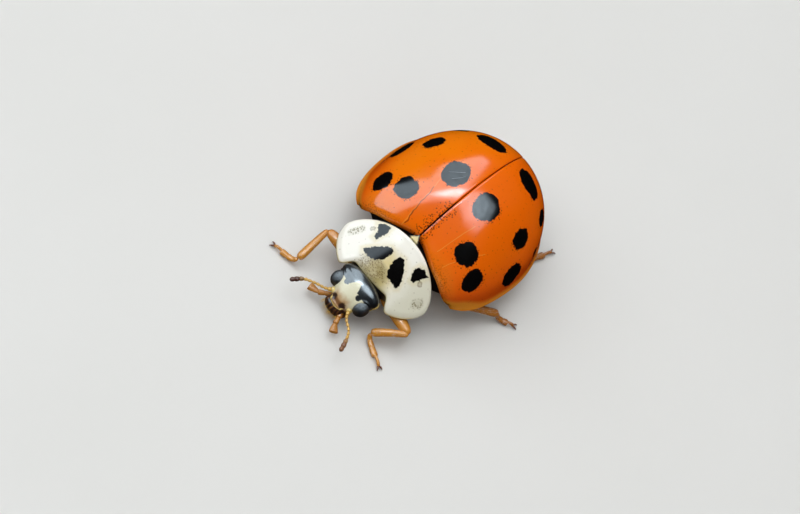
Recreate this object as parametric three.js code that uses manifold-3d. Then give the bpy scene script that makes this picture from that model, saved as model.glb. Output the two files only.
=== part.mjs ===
// A harlequin ladybird standing on level ground, as a still life-size model.
//
// Millimetres, +Z up. The beetle faces -Y and its left side is +X. Every shape is worked out in
// the body frame, whose origin lies on the midline at the front edge of the wing cases, level
// with their side margins. The last lines set that frame above the ground and over the middle of
// the ground that the model covers.

import * as THREE from 'three';
import { mergeVertices } from 'three/addons/utils/BufferGeometryUtils.js';
import Module from 'manifold-3d';

const wasm = await Module();
wasm.setup();

// ---------------------------------------------------------------- driving dimensions

const STANDING_HEIGHT = 0.9;       // ground to the margin of the wing cases
const FRAME_SHIFT = -1.0;          // body frame to the middle of the covered ground, along Y
const GROUND = -STANDING_HEIGHT;   // the ground, in the body frame

const CASE_LENGTH = 5.37;          // wing cases, front edge to tip
const CASE_HALF_WIDTH = 2.7;       // widest, measured at WIDEST_AT of the length
const CASE_HEIGHT = 2.48;          // margin to the top of the dome, at HIGHEST_AT of the length
const CASE_WALL = 0.5;             // thickness of a wing case
const CASE_RIM = 0.1;              // depth of the margin below its edge
const WIDEST_AT = 0.426;
const HIGHEST_AT = 0.464;
const BASE_WIDTH_SHARE = 0.757;    // width at the front edge, as a share of the widest
const BASE_HEIGHT_SHARE = 0.52;    // height at the front edge, as a share of the highest
const SHOULDER_SETBACK = 0.184;    // the outer front corners lie this far behind the midline
const OUTLINE_POWER = 2.06;        // fullness of the rear half of the outline, seen from above
const PROFILE_POWER = 2.047;       // fullness of the rear half of the profile, seen from the side
const ARCH_POWER = 2.033;          // fullness of a cross-section near its top
const ARCH_ROOT = 1.722;           // and near its margin
const SUTURE_GAP = 0.03;           // the line where the two cases meet

const SCUTELLUM_HALF_WIDTH = 0.19;
const SCUTELLUM_LENGTH = 0.28;     // along its slope
const SCUTELLUM_DEPTH = 0.5;
const SCUTELLUM_SLOPE = 42;        // degrees, rising backwards with the dome
const SCUTELLUM_SETBACK = 0.01;    // behind the front of the wing cases
const SCUTELLUM_FRONT_HEIGHT = 1.31;

const PLATE_HALF_WIDTH = 1.74;     // pronotum
const PLATE_WIDEST_Y = -0.68;
const PLATE_REAR_DEPTH = 0.6;      // widest line to the rear edge, on the midline
const PLATE_FRONT_DEPTH = 1.0;     // widest line to where the outer front curve would peak
const PLATE_NECK_Y = -1.5;         // front edge on the midline, behind the head
const PLATE_NECK_HALF_WIDTH = 0.75;
const PLATE_CORNER_X = 0.93;       // tip of a front corner
const PLATE_CORNER_START = 0.6;    // where the outer front curve begins, under the neck's edge
const PLATE_NECK_HOLLOW = 0.1;     // the neck's edge is this much deeper on the midline
const PLATE_REAR_POWER = 2;
const PLATE_FRONT_POWER = 1.8;
const PLATE_WALL = 0.42;
const PLATE_CROWN = 1.33;          // height of the midline where it meets the wing cases
const PLATE_SLOPE = 0.45;          // rise along the midline, per mm
const PLATE_ARCH = 0.16;           // and its change, per mm squared
const PLATE_SIDE_DROP = 0.77;      // midline to the side margin
const PLATE_SIDE_POWER = 2.2;

const PROTHORAX_HALF_WIDTH = 1.0;
const PROTHORAX_SETBACK = 0.38;    // behind the front edge of the pronotum
const PROTHORAX_FLOOR_SHARE = 0.35; // depth at its rounded edges, as a share of the belly's
const BELLY_DEPTH = 0.42;          // underside below the margin of the wing cases
const WAIST_Y = 2.15;              // thorax ends and abdomen begins

const HEAD_CENTRE = [-0.06, -1.93, -0.2];
const HEAD_PITCH = 33;             // degrees, face tipped forward and down
const HEAD_YAW = -7;               // degrees, turned towards its right
const HEAD_HALF_LENGTH = 0.66;
const HEAD_HALF_WIDTH = 0.71;
const HEAD_HALF_HEIGHT = 0.42;
const EYE_SIZE = [0.19, 0.25, 0.24];
const HEAD_POWER = 3.2;            // squareness of its two ends
const HEAD_WIDTHS = [[0, 0.34], [0.25, 0.47], [0.5, 0.9], [0.75, 1], [1, 0.8]];
const HEAD_HEIGHTS = [[0, 0.5], [0.3, 0.86], [0.6, 1], [1, 0.85]];
const EYE_PLACE = [0.58, 0.02, 0.08];
const MOUTH_SIZE = [0.36, 0.27, 0.25];
const MOUTH_PLACE = [0, -0.5, -0.28];
const MOUTH_POWER = 2.6;

const FEELER_RADIUS = 0.23;
const FEELER_ROOT_RADIUS = 0.16;
const PALP_RADIUS = 0.22;
const LIMB_RADIUS = 0.25;          // shin and foot
const THIGH_RADIUS = 0.3;
const THIGH_FLATNESS = 0.85;
const FOOT_BEND = 0.55;            // share of the way to the toe where a foot comes level
const CLEARANCE = 0.03;            // left wherever two pieces meet
const SHORTEST_EDGE = 0.004;       // shorter edges, left by the cuts, are closed up
const END_CROWDING = 1.6;          // how evenly a limb's rings are spaced; 1 crowds its ends most
const TAIL_CROWDING = 1.7;         // how closely the dome's sections follow each other at the tail

// ---------------------------------------------------------------- closed forms

const vector = (point) => new THREE.Vector3(...point);

// A closed form from a sphere: place(row, turn) says where each point of its grid goes. row runs
// from 0 at one pole to 1 at the other, and turn runs once round from 0 to 1.
function loft(columns, rows, place) {
  const geometry = new THREE.SphereGeometry(1, columns, rows);
  const grid = geometry.getAttribute('uv');
  const points = geometry.getAttribute('position');
  for (let i = 0; i < points.count; i += 1) {
    const row = Math.round((1 - grid.getY(i)) * rows);
    const column = Math.round(grid.getX(i) * columns) % columns;
    const point = place(row / rows, row === 0 || row === rows ? 0 : column / columns);
    points.setXYZ(i, point.x, point.y, point.z);
  }
  return geometry;
}

function volumeOf(points, index) {
  const [a, b, c] = [0, 1, 2].map(() => new THREE.Vector3());
  let volume = 0;
  for (let i = 0; i < index.length; i += 3) {
    a.fromArray(points, index[i] * 3);
    b.fromArray(points, index[i + 1] * 3);
    c.fromArray(points, index[i + 2] * 3);
    volume += a.dot(b.cross(c)) / 6;
  }
  return volume;
}

// The geometry as a solid that can be joined and cut, with its faces turned outwards.
function solid(geometry) {
  const plain = geometry.clone();
  plain.deleteAttribute('normal');
  plain.deleteAttribute('uv');
  const merged = mergeVertices(plain, 1e-4);
  const points = Float32Array.from(merged.getAttribute('position').array);
  const index = Uint32Array.from(merged.getIndex().array);
  if (volumeOf(points, index) < 0) {
    index.reverse();
  }
  return new wasm.Manifold(new wasm.Mesh({ numProp: 3, vertProperties: points, triVerts: index }));
}

function block(low, high) {
  const size = high.map((value, axis) => value - low[axis]);
  const middle = high.map((value, axis) => (value + low[axis]) / 2);
  return solid(new THREE.BoxGeometry(...size).translate(...middle));
}

// The finished solid as a named mesh.
function mesh(name, shape, material) {
  const { vertProperties, triVerts } = shape.simplify(SHORTEST_EDGE).getMesh();
  const geometry = new THREE.BufferGeometry();
  const points = new THREE.BufferAttribute(Float32Array.from(vertProperties), 3);
  geometry.setAttribute('position', points);
  geometry.setIndex(new THREE.BufferAttribute(Uint32Array.from(triVerts), 1));
  geometry.computeVertexNormals();
  const made = new THREE.Mesh(geometry, material);
  made.name = name;
  return made;
}

// A value that follows a list of [position, value] stops, with straight runs between them.
function follow(stops, position) {
  const next = stops.findIndex(([at]) => at >= position);
  if (next <= 0) {
    return next === 0 ? stops[0][1] : stops.at(-1)[1];
  }
  const [[from, low], [to, high]] = [stops[next - 1], stops[next]];
  return THREE.MathUtils.mapLinear(position, from, to, low, high);
}

// A round-ended limb along a smooth curve. thickness lists [share of the length, radius] stops.
// Nothing of it goes below the ground, which gives a foot its flat.
function limb(route, thickness, { grow = 0, flatten = 1, columns = 8, rows = 9 } = {}) {
  const curve = new THREE.CatmullRomCurve3(route.map(vector), false, 'centripetal');
  const length = curve.getLength();
  const startCap = (follow(thickness, 0) + grow) / length;
  const endCap = (follow(thickness, 1) + grow) / length;
  return loft(columns, rows, (row, turn) => {
    const along = row - Math.sin(2 * Math.PI * row) / (2 * Math.PI * END_CROWDING);
    const spread = grow / length;
    const share = along * (1 + 2 * spread) - spread;
    const inside = THREE.MathUtils.clamp(share, 0, 1);
    const centre = curve.getPointAt(inside);
    const forward = curve.getTangentAt(inside);
    centre.addScaledVector(forward, (share - inside) * length);
    const side = new THREE.Vector3(0, 0, 1).cross(forward).normalize();
    const up = forward.clone().cross(side);
    const fromStart = Math.min(along / startCap, 1);
    const fromEnd = Math.min((1 - along) / endCap, 1);
    const rounding = Math.sqrt(1 - (1 - fromStart) ** 2) * Math.sqrt(1 - (1 - fromEnd) ** 2);
    const radius = (follow(thickness, inside) + grow) * rounding;
    const angle = 2 * Math.PI * turn;
    centre.addScaledVector(side, radius * Math.cos(angle));
    centre.addScaledVector(up, radius * flatten * Math.sin(angle));
    centre.z = Math.max(centre.z, GROUND);
    return centre;
  });
}

// ---------------------------------------------------------------- wing cases, thorax, abdomen

function superCurve(distance, power) {
  return Math.max(1 - Math.abs(distance) ** power, 0) ** (1 / power);
}

function caseHalfWidth(t) {
  if (t < WIDEST_AT) {
    const curve = Math.sqrt(1 - ((WIDEST_AT - t) / WIDEST_AT) ** 2);
    return CASE_HALF_WIDTH * (BASE_WIDTH_SHARE + (1 - BASE_WIDTH_SHARE) * curve);
  }
  return CASE_HALF_WIDTH * superCurve((t - WIDEST_AT) / (1 - WIDEST_AT), OUTLINE_POWER);
}

function caseHeight(t) {
  if (t < HIGHEST_AT) {
    const curve = 1 - ((HIGHEST_AT - t) / HIGHEST_AT) ** 2;
    return CASE_HEIGHT * (BASE_HEIGHT_SHARE + (1 - BASE_HEIGHT_SHARE) * curve);
  }
  return CASE_HEIGHT * superCurve((t - HIGHEST_AT) / (1 - HIGHEST_AT), PROFILE_POWER);
}

// Height of a cross-section at a share of its half-width.
function crossSection(share) {
  return (1 - Math.min(Math.abs(share), 1) ** ARCH_POWER) ** (1 / ARCH_ROOT);
}

// The dome of the wing cases, drawn in by inset all round, down to the given underside. The
// underside is a function of the share of the half-width and of t. lead moves the front end on.
function dome({ inset = 0, lead = 0, underside, columns, rows }) {
  const lastSection = inset > 0 ? 0.97 : 1;
  return loft(columns, rows, (row, turn) => {
    if (row === 0) {
      return new THREE.Vector3(0, -lead, 0.3);
    }
    if (row === 1) {
      return new THREE.Vector3(0, CASE_LENGTH - inset, 0);
    }
    const step = (row * rows - 1) / (rows - 1);
    const t = lastSection * (1 - (1 - step) ** TAIL_CROWDING);
    const share = Math.cos(2 * Math.PI * turn);
    const setback = SHOULDER_SETBACK * share ** 2 * (1 - t) ** 3;
    const y = CASE_LENGTH * t + setback - inset * t ** 6 - lead * (1 - t) ** 6;
    const height = caseHeight(t) - inset;
    const z = turn < 0.5 ? height * crossSection(share) : underside(share, t);
    return new THREE.Vector3(share * (caseHalfWidth(t) - inset), y, z);
  });
}

const rimUnderside = (share) => -CASE_RIM * superCurve(share, 8);

const bellyUnderside = (share, t) => -BELLY_DEPTH * superCurve(share, 3) * superCurve(t, 4);

function trunkSolid() {
  return solid(dome({
    inset: CASE_WALL + CLEARANCE,
    underside: bellyUnderside,
    columns: 20,
    rows: 12,
  }));
}

function wingCases(scutellumRoom) {
  const outside = solid(dome({ underside: rimUnderside, columns: 36, rows: 22 }));
  const hollow = solid(dome({
    inset: CASE_WALL,
    lead: 0.3,
    underside: (share) => -superCurve(share, 20),
    columns: 20,
    rows: 12,
  }));
  const shell = outside.subtract(hollow).subtract(scutellumRoom);
  const half = SUTURE_GAP / 2;
  return {
    left: shell.intersect(block([half, -1, -1], [4, 7, 4])),
    right: shell.intersect(block([-4, -1, -1], [-half, 7, 4])),
  };
}

// The small triangle between the front corners of the wing cases, a wedge set into the thorax.
function scutellum(grow) {
  const outline = new THREE.Shape();
  outline.moveTo(-SCUTELLUM_HALF_WIDTH - grow * 2, -grow);
  outline.lineTo(SCUTELLUM_HALF_WIDTH + grow * 2, -grow);
  outline.lineTo(0, SCUTELLUM_LENGTH + grow * 2);
  outline.closePath();
  const depth = SCUTELLUM_DEPTH + grow * 2;
  const wedge = new THREE.ExtrudeGeometry(outline, { depth, bevelEnabled: false });
  wedge.translate(0, 0, grow - depth);
  wedge.rotateX(THREE.MathUtils.degToRad(SCUTELLUM_SLOPE));
  wedge.translate(0, SCUTELLUM_SETBACK, SCUTELLUM_FRONT_HEIGHT);
  return solid(wedge);
}

// ---------------------------------------------------------------- pronotum, prothorax

function plateHeight(x, y) {
  const drop = PLATE_SIDE_DROP * (Math.abs(x) / PLATE_HALF_WIDTH) ** PLATE_SIDE_POWER;
  return PLATE_CROWN + PLATE_SLOPE * y - PLATE_ARCH * y * y - drop;
}

function plateRear(x) {
  return PLATE_WIDEST_Y + PLATE_REAR_DEPTH * superCurve(x / PLATE_HALF_WIDTH, PLATE_REAR_POWER);
}

// The front edge runs behind the head, steps forward to a corner and rounds back to the side.
function plateFront(x) {
  const out = Math.abs(x);
  const neck = PLATE_NECK_Y + PLATE_NECK_HOLLOW * (out / PLATE_NECK_HALF_WIDTH) ** 2;
  const outer = Math.max((out - PLATE_CORNER_START) / (PLATE_HALF_WIDTH - PLATE_CORNER_START), 0);
  const side = PLATE_WIDEST_Y - PLATE_FRONT_DEPTH * superCurve(outer, PLATE_FRONT_POWER);
  const step = THREE.MathUtils.smoothstep(out, PLATE_NECK_HALF_WIDTH, PLATE_CORNER_X);
  return THREE.MathUtils.lerp(neck, side, step);
}

// A plate lofted from side to side, between a front and a rear edge.
function plateLoft({ reach, frontEdge, rearEdge, top, bottom, columns, rows }) {
  return loft(columns, rows, (row, turn) => {
    const x = -reach * Math.cos(Math.PI * row);
    const front = frontEdge(x);
    const rear = rearEdge(x);
    const middle = (front + rear) / 2;
    if (row === 0 || row === 1) {
      return new THREE.Vector3(x, middle, (top(x, middle) + bottom(1, x, middle)) / 2);
    }
    const share = Math.cos(2 * Math.PI * turn);
    const y = middle + share * (rear - front) / 2;
    const z = turn < 0.5 ? top(x, y) : bottom(share, x, y);
    return new THREE.Vector3(x, y, z);
  });
}

function pronotum() {
  const bottom = (share, x, y) => {
    const wall = PLATE_WALL * superCurve(share, 6) * superCurve(x / PLATE_HALF_WIDTH, 3);
    return plateHeight(x, y) - wall;
  };
  return solid(plateLoft({
    reach: PLATE_HALF_WIDTH,
    frontEdge: plateFront,
    rearEdge: plateRear,
    top: plateHeight,
    bottom,
    columns: 12,
    rows: 34,
  }));
}

// The front ring of the body, under the pronotum, which carries the head and the front legs.
function prothorax() {
  const bottom = (share, x) => {
    const rounding = superCurve(x / PROTHORAX_HALF_WIDTH, 3) * superCurve(share, 4);
    return -BELLY_DEPTH * THREE.MathUtils.lerp(PROTHORAX_FLOOR_SHARE, 1, rounding);
  };
  return solid(plateLoft({
    reach: PROTHORAX_HALF_WIDTH,
    frontEdge: (x) => plateFront(x) + PROTHORAX_SETBACK,
    rearEdge: () => -CLEARANCE,
    top: (x, y) => plateHeight(x, y) - PLATE_WALL - CLEARANCE,
    bottom,
    columns: 12,
    rows: 12,
  }));
}

// ---------------------------------------------------------------- head

const headPlace = new THREE.Matrix4().compose(
  vector(HEAD_CENTRE),
  new THREE.Quaternion().setFromEuler(new THREE.Euler(
    THREE.MathUtils.degToRad(HEAD_PITCH),
    0,
    THREE.MathUtils.degToRad(HEAD_YAW),
    'ZYX',
  )),
  new THREE.Vector3(1, 1, 1),
);

// A round-cornered capsule from the clypeus, at the front, to the vertex, under the pronotum.
function headSolid(grow) {
  const geometry = loft(18, 12, (row, turn) => {
    const along = -Math.cos(Math.PI * row);
    const share = (along + 1) / 2;
    const round = superCurve(along, HEAD_POWER);
    const angle = 2 * Math.PI * turn;
    const x = (HEAD_HALF_WIDTH * follow(HEAD_WIDTHS, share) * round + grow) * Math.cos(angle);
    const z = (HEAD_HALF_HEIGHT * follow(HEAD_HEIGHTS, share) * round + grow) * Math.sin(angle);
    return new THREE.Vector3(x, along * (HEAD_HALF_LENGTH + grow), z);
  });
  return solid(geometry.applyMatrix4(headPlace));
}

function eyeSolid(side, grow) {
  const geometry = new THREE.SphereGeometry(1, 14, 10);
  geometry.scale(...EYE_SIZE.map((size) => size + grow));
  geometry.translate(side * EYE_PLACE[0], EYE_PLACE[1], EYE_PLACE[2]);
  return solid(geometry.applyMatrix4(headPlace));
}

function mouthSolid(grow) {
  const geometry = loft(12, 8, (row, turn) => {
    const across = -Math.cos(Math.PI * row);
    const round = superCurve(across, MOUTH_POWER);
    const angle = 2 * Math.PI * turn;
    const [halfWidth, halfLength, halfHeight] = MOUTH_SIZE;
    const offset = new THREE.Vector3(
      across * (halfWidth + grow),
      (halfLength * round + grow) * Math.cos(angle),
      (halfHeight * round + grow) * Math.sin(angle),
    );
    return offset.add(vector(MOUTH_PLACE));
  });
  return solid(geometry.applyMatrix4(headPlace));
}

// ---------------------------------------------------------------- feelers, palps and legs

const FEELER_ROUTES = {
  right: [[-0.52, -2.3, -0.28], [-0.78, -2.47, -0.24], [-1.0, -2.63, -0.28],
    [-1.2, -2.83, -0.34], [-1.47, -3.05, -0.36]],
  left: [[0.3, -2.4, -0.28], [0.45, -2.66, -0.25], [0.66, -2.86, -0.28],
    [0.85, -3.1, -0.34], [1.01, -3.34, -0.38]],
};

const PALP_ROUTES = {
  right: [[-0.45, -2.3, -0.6], [-0.75, -2.45, -0.68], [-1.06, -2.5, -0.68]],
  left: [[0.15, -2.45, -0.6], [0.3, -2.75, -0.68], [0.47, -2.98, -0.68]],
};

// Each leg by its hip, knee, ankle and toe. Toes reach the ground.
const LEGS = {
  front_right: [[-0.35, -0.95, -0.45], [-1.97, -0.97, -0.3], [-1.87, -2.22, -0.62],
    [-2.7, -2.36, -0.68]],
  front_left: [[0.35, -0.95, -0.45], [1.9, -1.3, -0.3], [1.13, -2.03, -0.62],
    [2.1, -2.46, -0.68]],
  middle_right: [[-0.5, 0.65, -0.45], [-2.05, 0.95, -0.42], [-2.3, 2.05, -0.6],
    [-2.6, 2.85, -0.68]],
  middle_left: [[0.5, 0.65, -0.45], [2.2, 0.95, -0.42], [2.95, 1.85, -0.6],
    [3.5, 2.2, -0.68]],
  hind_right: [[-0.5, 1.8, -0.45], [-1.8, 2.8, -0.45], [-2.0, 4.05, -0.6],
    [-2.2, 4.9, -0.68]],
  hind_left: [[0.5, 1.8, -0.45], [1.9, 2.85, -0.45], [2.2, 4.15, -0.6],
    [2.43, 5.1, -0.68]],
};

function thigh(joints, grow) {
  const [hip, knee] = joints;
  const middle = hip.map((value, axis) => (value + knee[axis]) / 2);
  const thickness = [[0, THIGH_RADIUS], [0.5, THIGH_RADIUS], [1, LIMB_RADIUS]];
  return solid(limb([hip, middle, knee], thickness, { grow, flatten: THIGH_FLATNESS }));
}

function shin(joints, grow) {
  const [, knee, ankle] = joints;
  const middle = knee.map((value, axis) => (value + ankle[axis]) / 2);
  return solid(limb([knee, middle, ankle], [[0, LIMB_RADIUS], [1, LIMB_RADIUS]], { grow }));
}

function foot(joints) {
  const [, , ankle, toe] = joints;
  const middle = ankle.map((value, axis) => THREE.MathUtils.lerp(value, toe[axis], FOOT_BEND));
  middle[2] = toe[2];
  return solid(limb([ankle, middle, toe], [[0, LIMB_RADIUS], [1, LIMB_RADIUS]]));
}

// ---------------------------------------------------------------- finishes

function finish(color, roughness) {
  return new THREE.MeshStandardMaterial({ color, roughness, metalness: 0 });
}

const caseFinish = () => finish('#d5701c', 0.3);
const plateFinish = () => finish('#e4e2cc', 0.4);
const headFinish = () => finish('#cfc8a2', 0.4);
const eyeFinish = () => finish('#14161a', 0.15);
const feelerFinish = () => finish('#a5793a', 0.45);
const mouthFinish = () => finish('#4a1f12', 0.3);
const legFinish = () => finish('#9a6a1e', 0.4);
const bellyFinish = () => finish('#3a2416', 0.4);

// ---------------------------------------------------------------- assembly

const SIDES = { left: 1, right: -1 };

function assemble() {
  const body = new THREE.Group();
  const add = (name, shape, material) => body.add(mesh(name, shape, material));
  const cut = (shape, ...tools) => tools.reduce((rest, tool) => rest.subtract(tool), shape);

  const legNames = Object.keys(LEGS);
  const thighRoom = legNames.map((name) => thigh(LEGS[name], CLEARANCE));
  const shinRoom = legNames.map((name) => shin(LEGS[name], CLEARANCE));
  const headRoom = headSolid(CLEARANCE);
  const eyeRoom = Object.values(SIDES).map((side) => eyeSolid(side, CLEARANCE));

  const scutellumRoom = scutellum(CLEARANCE);
  const cases = wingCases(scutellumRoom);
  add('elytron_left', cut(cases.left, ...thighRoom), caseFinish());
  add('elytron_right', cut(cases.right, ...thighRoom), caseFinish());
  add('scutellum', scutellum(0), plateFinish());

  const trunk = cut(trunkSolid(), scutellumRoom, ...thighRoom, ...shinRoom);
  const waist = CLEARANCE / 2;
  add('thorax', trunk.intersect(block([-4, -1, -2], [4, WAIST_Y - waist, 4])), bellyFinish());
  add('abdomen', trunk.intersect(block([-4, WAIST_Y + waist, -2], [4, 7, 4])), bellyFinish());

  add('pronotum', cut(pronotum(), headRoom, ...thighRoom), plateFinish());
  add('prothorax', cut(prothorax(), headRoom, ...thighRoom), bellyFinish());

  add('head', cut(headSolid(0), ...eyeRoom), headFinish());
  Object.entries(SIDES).forEach(([name, side]) => {
    add(`eye_${name}`, eyeSolid(side, 0), eyeFinish());
  });
  add('mouthparts', cut(mouthSolid(0), headRoom), mouthFinish());

  const mouthRoom = mouthSolid(CLEARANCE);
  Object.keys(SIDES).forEach((name) => {
    const stops = [[0, FEELER_ROOT_RADIUS], [0.3, FEELER_RADIUS], [1, FEELER_RADIUS]];
    const feeler = (grow) => solid(limb(FEELER_ROUTES[name], stops, { grow }));
    const palp = solid(limb(PALP_ROUTES[name], [[0, FEELER_ROOT_RADIUS], [1, PALP_RADIUS]]));
    add(`antenna_${name}`, cut(feeler(0), headRoom, mouthRoom, ...eyeRoom), feelerFinish());
    add(`palp_${name}`, cut(palp, headRoom, mouthRoom, feeler(CLEARANCE)), feelerFinish());
  });

  legNames.forEach((name) => {
    const joints = LEGS[name];
    add(`${name}_femur`, thigh(joints, 0), legFinish());
    add(`${name}_tibia`, cut(shin(joints, 0), thigh(joints, CLEARANCE)), legFinish());
    add(`${name}_tarsus`, cut(foot(joints), shin(joints, CLEARANCE)), legFinish());
  });
  return body;
}

const ladybird = new THREE.Group();
const body = assemble();
body.position.set(0, FRAME_SHIFT, STANDING_HEIGHT);
ladybird.add(body);

export default ladybird;
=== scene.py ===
# %% [markdown]
# # A ladybird, shell by shell
#
# This lesson finishes a life-size harlequin ladybird, about seven millimetres long, as a museum
# model maker would: hard glossy wing cases with ragged black spots, a white neck shield, a black
# and cream head with faceted eyes, beaded feelers, and six short amber legs. The solids that
# carry it come first, as a fixed frame. Everything made here is dressed around them, piece by
# piece, and stands in for them.

# %% Load the solids
import math
from functools import reduce

import bmesh
import bpy
import numpy as np
from mathutils import Matrix, Vector
from mathutils.kdtree import KDTree


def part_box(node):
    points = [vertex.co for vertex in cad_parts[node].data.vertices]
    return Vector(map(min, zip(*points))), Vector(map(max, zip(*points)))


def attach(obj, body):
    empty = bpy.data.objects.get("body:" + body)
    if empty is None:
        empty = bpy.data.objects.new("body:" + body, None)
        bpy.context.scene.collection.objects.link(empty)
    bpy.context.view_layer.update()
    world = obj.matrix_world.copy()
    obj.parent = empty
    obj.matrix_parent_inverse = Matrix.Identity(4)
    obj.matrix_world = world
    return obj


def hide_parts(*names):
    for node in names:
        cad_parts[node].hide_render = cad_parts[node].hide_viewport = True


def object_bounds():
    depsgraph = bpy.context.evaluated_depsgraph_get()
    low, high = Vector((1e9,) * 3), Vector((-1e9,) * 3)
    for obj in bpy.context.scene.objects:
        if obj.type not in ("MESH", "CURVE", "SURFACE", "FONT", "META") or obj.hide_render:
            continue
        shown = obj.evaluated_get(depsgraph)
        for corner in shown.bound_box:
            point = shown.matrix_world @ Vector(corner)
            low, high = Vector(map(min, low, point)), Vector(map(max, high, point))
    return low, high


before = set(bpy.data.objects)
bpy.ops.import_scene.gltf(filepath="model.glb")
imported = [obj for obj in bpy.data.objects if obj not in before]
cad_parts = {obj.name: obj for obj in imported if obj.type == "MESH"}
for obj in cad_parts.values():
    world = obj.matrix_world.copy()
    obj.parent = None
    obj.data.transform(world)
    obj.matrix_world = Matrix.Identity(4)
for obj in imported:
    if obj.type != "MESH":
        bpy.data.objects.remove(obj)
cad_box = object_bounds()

# %% [markdown]
# ## Millimetres on a beetle
#
# A beetle is easiest to describe in its own millimetres: x to its left, y towards its tail, z up,
# with zero on the midline at the front edge of the wing cases, level with their lower margin.
# The frame is in metres from the floor. So all shapes below are worked out in beetle millimetres
# and one function moves them to the frame. The wing cases' own box gives the origin.

# %% The beetle's origin and its main sizes
MM = 0.001
CASE_RIM = 0.1        # how far the solid wing cases hang below their margin
case_low, case_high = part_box("elytron_left")
origin = Vector((0, case_low.y, case_low.z + CASE_RIM * MM))
case_length = (case_high.y - case_low.y) / MM
case_half_width = case_high.x / MM
case_height = (case_high.z - origin.z) / MM
ground = (cad_box[0][2] - origin.z) / MM


def to_frame(point):
    return origin + Vector(point) * MM


print(f"wing cases {case_length:.2f} long, {case_half_width:.2f} half wide, {case_height:.2f} high")
print(f"ground at z {ground:.2f} mm")

# %% [markdown]
# ## Writing nodes as sums
#
# Both materials and Geometry Nodes are trees of small nodes. Wiring them by hand hides the idea,
# so one class wraps a socket and lets it take part in ordinary arithmetic: `1 - mask * 2` adds
# the two Math nodes by itself. A second class is the tree being written, with one method that
# adds any other node.

# %% Sockets that can be added and multiplied
class Value:
    """One output socket, usable in sums."""

    def __init__(self, recipe, socket):
        self.recipe = recipe
        self.socket = socket

    def math(self, operation, *values):
        return self.recipe.node("ShaderNodeMath", {"operation": operation}, dict(enumerate(values)))

    def __abs__(self):
        return self.math("ABSOLUTE", self)

    def most(self, other):
        return self.math("MAXIMUM", self, other)

    def least(self, other):
        return self.math("MINIMUM", self, other)

    def sine(self):
        return self.math("SINE", self)

    def root(self):
        return self.math("SQRT", self)

    def ramp(self, start, end):
        """0 where the value is at start, 1 where it is at end, smooth between."""
        return self.recipe.node(
            "ShaderNodeMapRange", {"interpolation_type": "SMOOTHSTEP"},
            {"Value": self, "From Min": start, "From Max": end},
        )

    def inside(self, softness=0.01):
        """A mask that is 1 where a field is below zero."""
        return self.ramp(softness, -softness)

    def bump(self, depth):
        """Relief whose height runs from 0 to 1 for a depth in mm."""
        return self.recipe.node("ShaderNodeBump", sockets={"Height": self, "Distance": depth * MM})

    def also(self, output):
        """Another output of the same node."""
        return Value(self.recipe, self.socket.node.outputs[output])

    def parts(self):
        """The x, y and z of a vector."""
        x = self.recipe.node("ShaderNodeSeparateXYZ", sockets={0: self})
        return x, x.also("Y"), x.also("Z")


# %% Sums with a socket on either side
def operator(operation, reflected):
    def made(self, other):
        return self.math(operation, *((other, self) if reflected else (self, other)))

    return made


OPERATORS = {"add": "ADD", "sub": "SUBTRACT", "mul": "MULTIPLY", "truediv": "DIVIDE", "pow": "POWER"}
for sign, operation in OPERATORS.items():
    setattr(Value, f"__{sign}__", operator(operation, False))
    setattr(Value, f"__r{sign}__", operator(operation, True))
print("sums that sockets can do:", ", ".join(OPERATORS))


# %% A node tree being written
class Recipe:
    """A material's or a modifier's node tree."""

    def __init__(self, tree):
        self.tree = tree

    def plug(self, socket, value):
        if isinstance(value, Value):
            self.tree.links.new(value.socket, socket)
        else:
            socket.default_value = value

    def node(self, kind, settings=None, sockets=None, gives=0):
        made = self.tree.nodes.new(kind)
        for name, setting in (settings or {}).items():
            setattr(made, name, setting)
        for key, value in (sockets or {}).items():
            self.plug(made.inputs[key], value)
        return Value(self, made.outputs[gives])

    def vector(self, operation, *vectors, gives=0):
        return self.node(
            "ShaderNodeVectorMath", {"operation": operation}, dict(enumerate(vectors)), gives
        )

    def scaled(self, vector, scale):
        return self.node("ShaderNodeVectorMath", {"operation": "SCALE"}, {0: vector, "Scale": scale})

    def point(self, x, y, z):
        return self.node("ShaderNodeCombineXYZ", sockets={0: x, 1: y, 2: z})


# %% [markdown]
# ## Recipes for finishes
#
# All finishes read the beetle's own millimetres, so a spot's centre can be written where it lies
# on the animal. Patterns are drawn as *fields*: a number that says how far outside a mark each
# point is, in millimetres. Noise added to a field roughens the mark's edge, and a short ramp
# across zero turns it into a mask.

# %% Colours and marks
def srgb(red, green, blue):
    """A colour as seen on a screen, 0 to 255, as the linear colour that shaders want."""
    def linear(channel):
        share = channel / 255
        return share / 12.92 if share <= 0.04045 else ((share + 0.055) / 1.055) ** 2.4

    return (linear(red), linear(green), linear(blue), 1.0)


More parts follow.
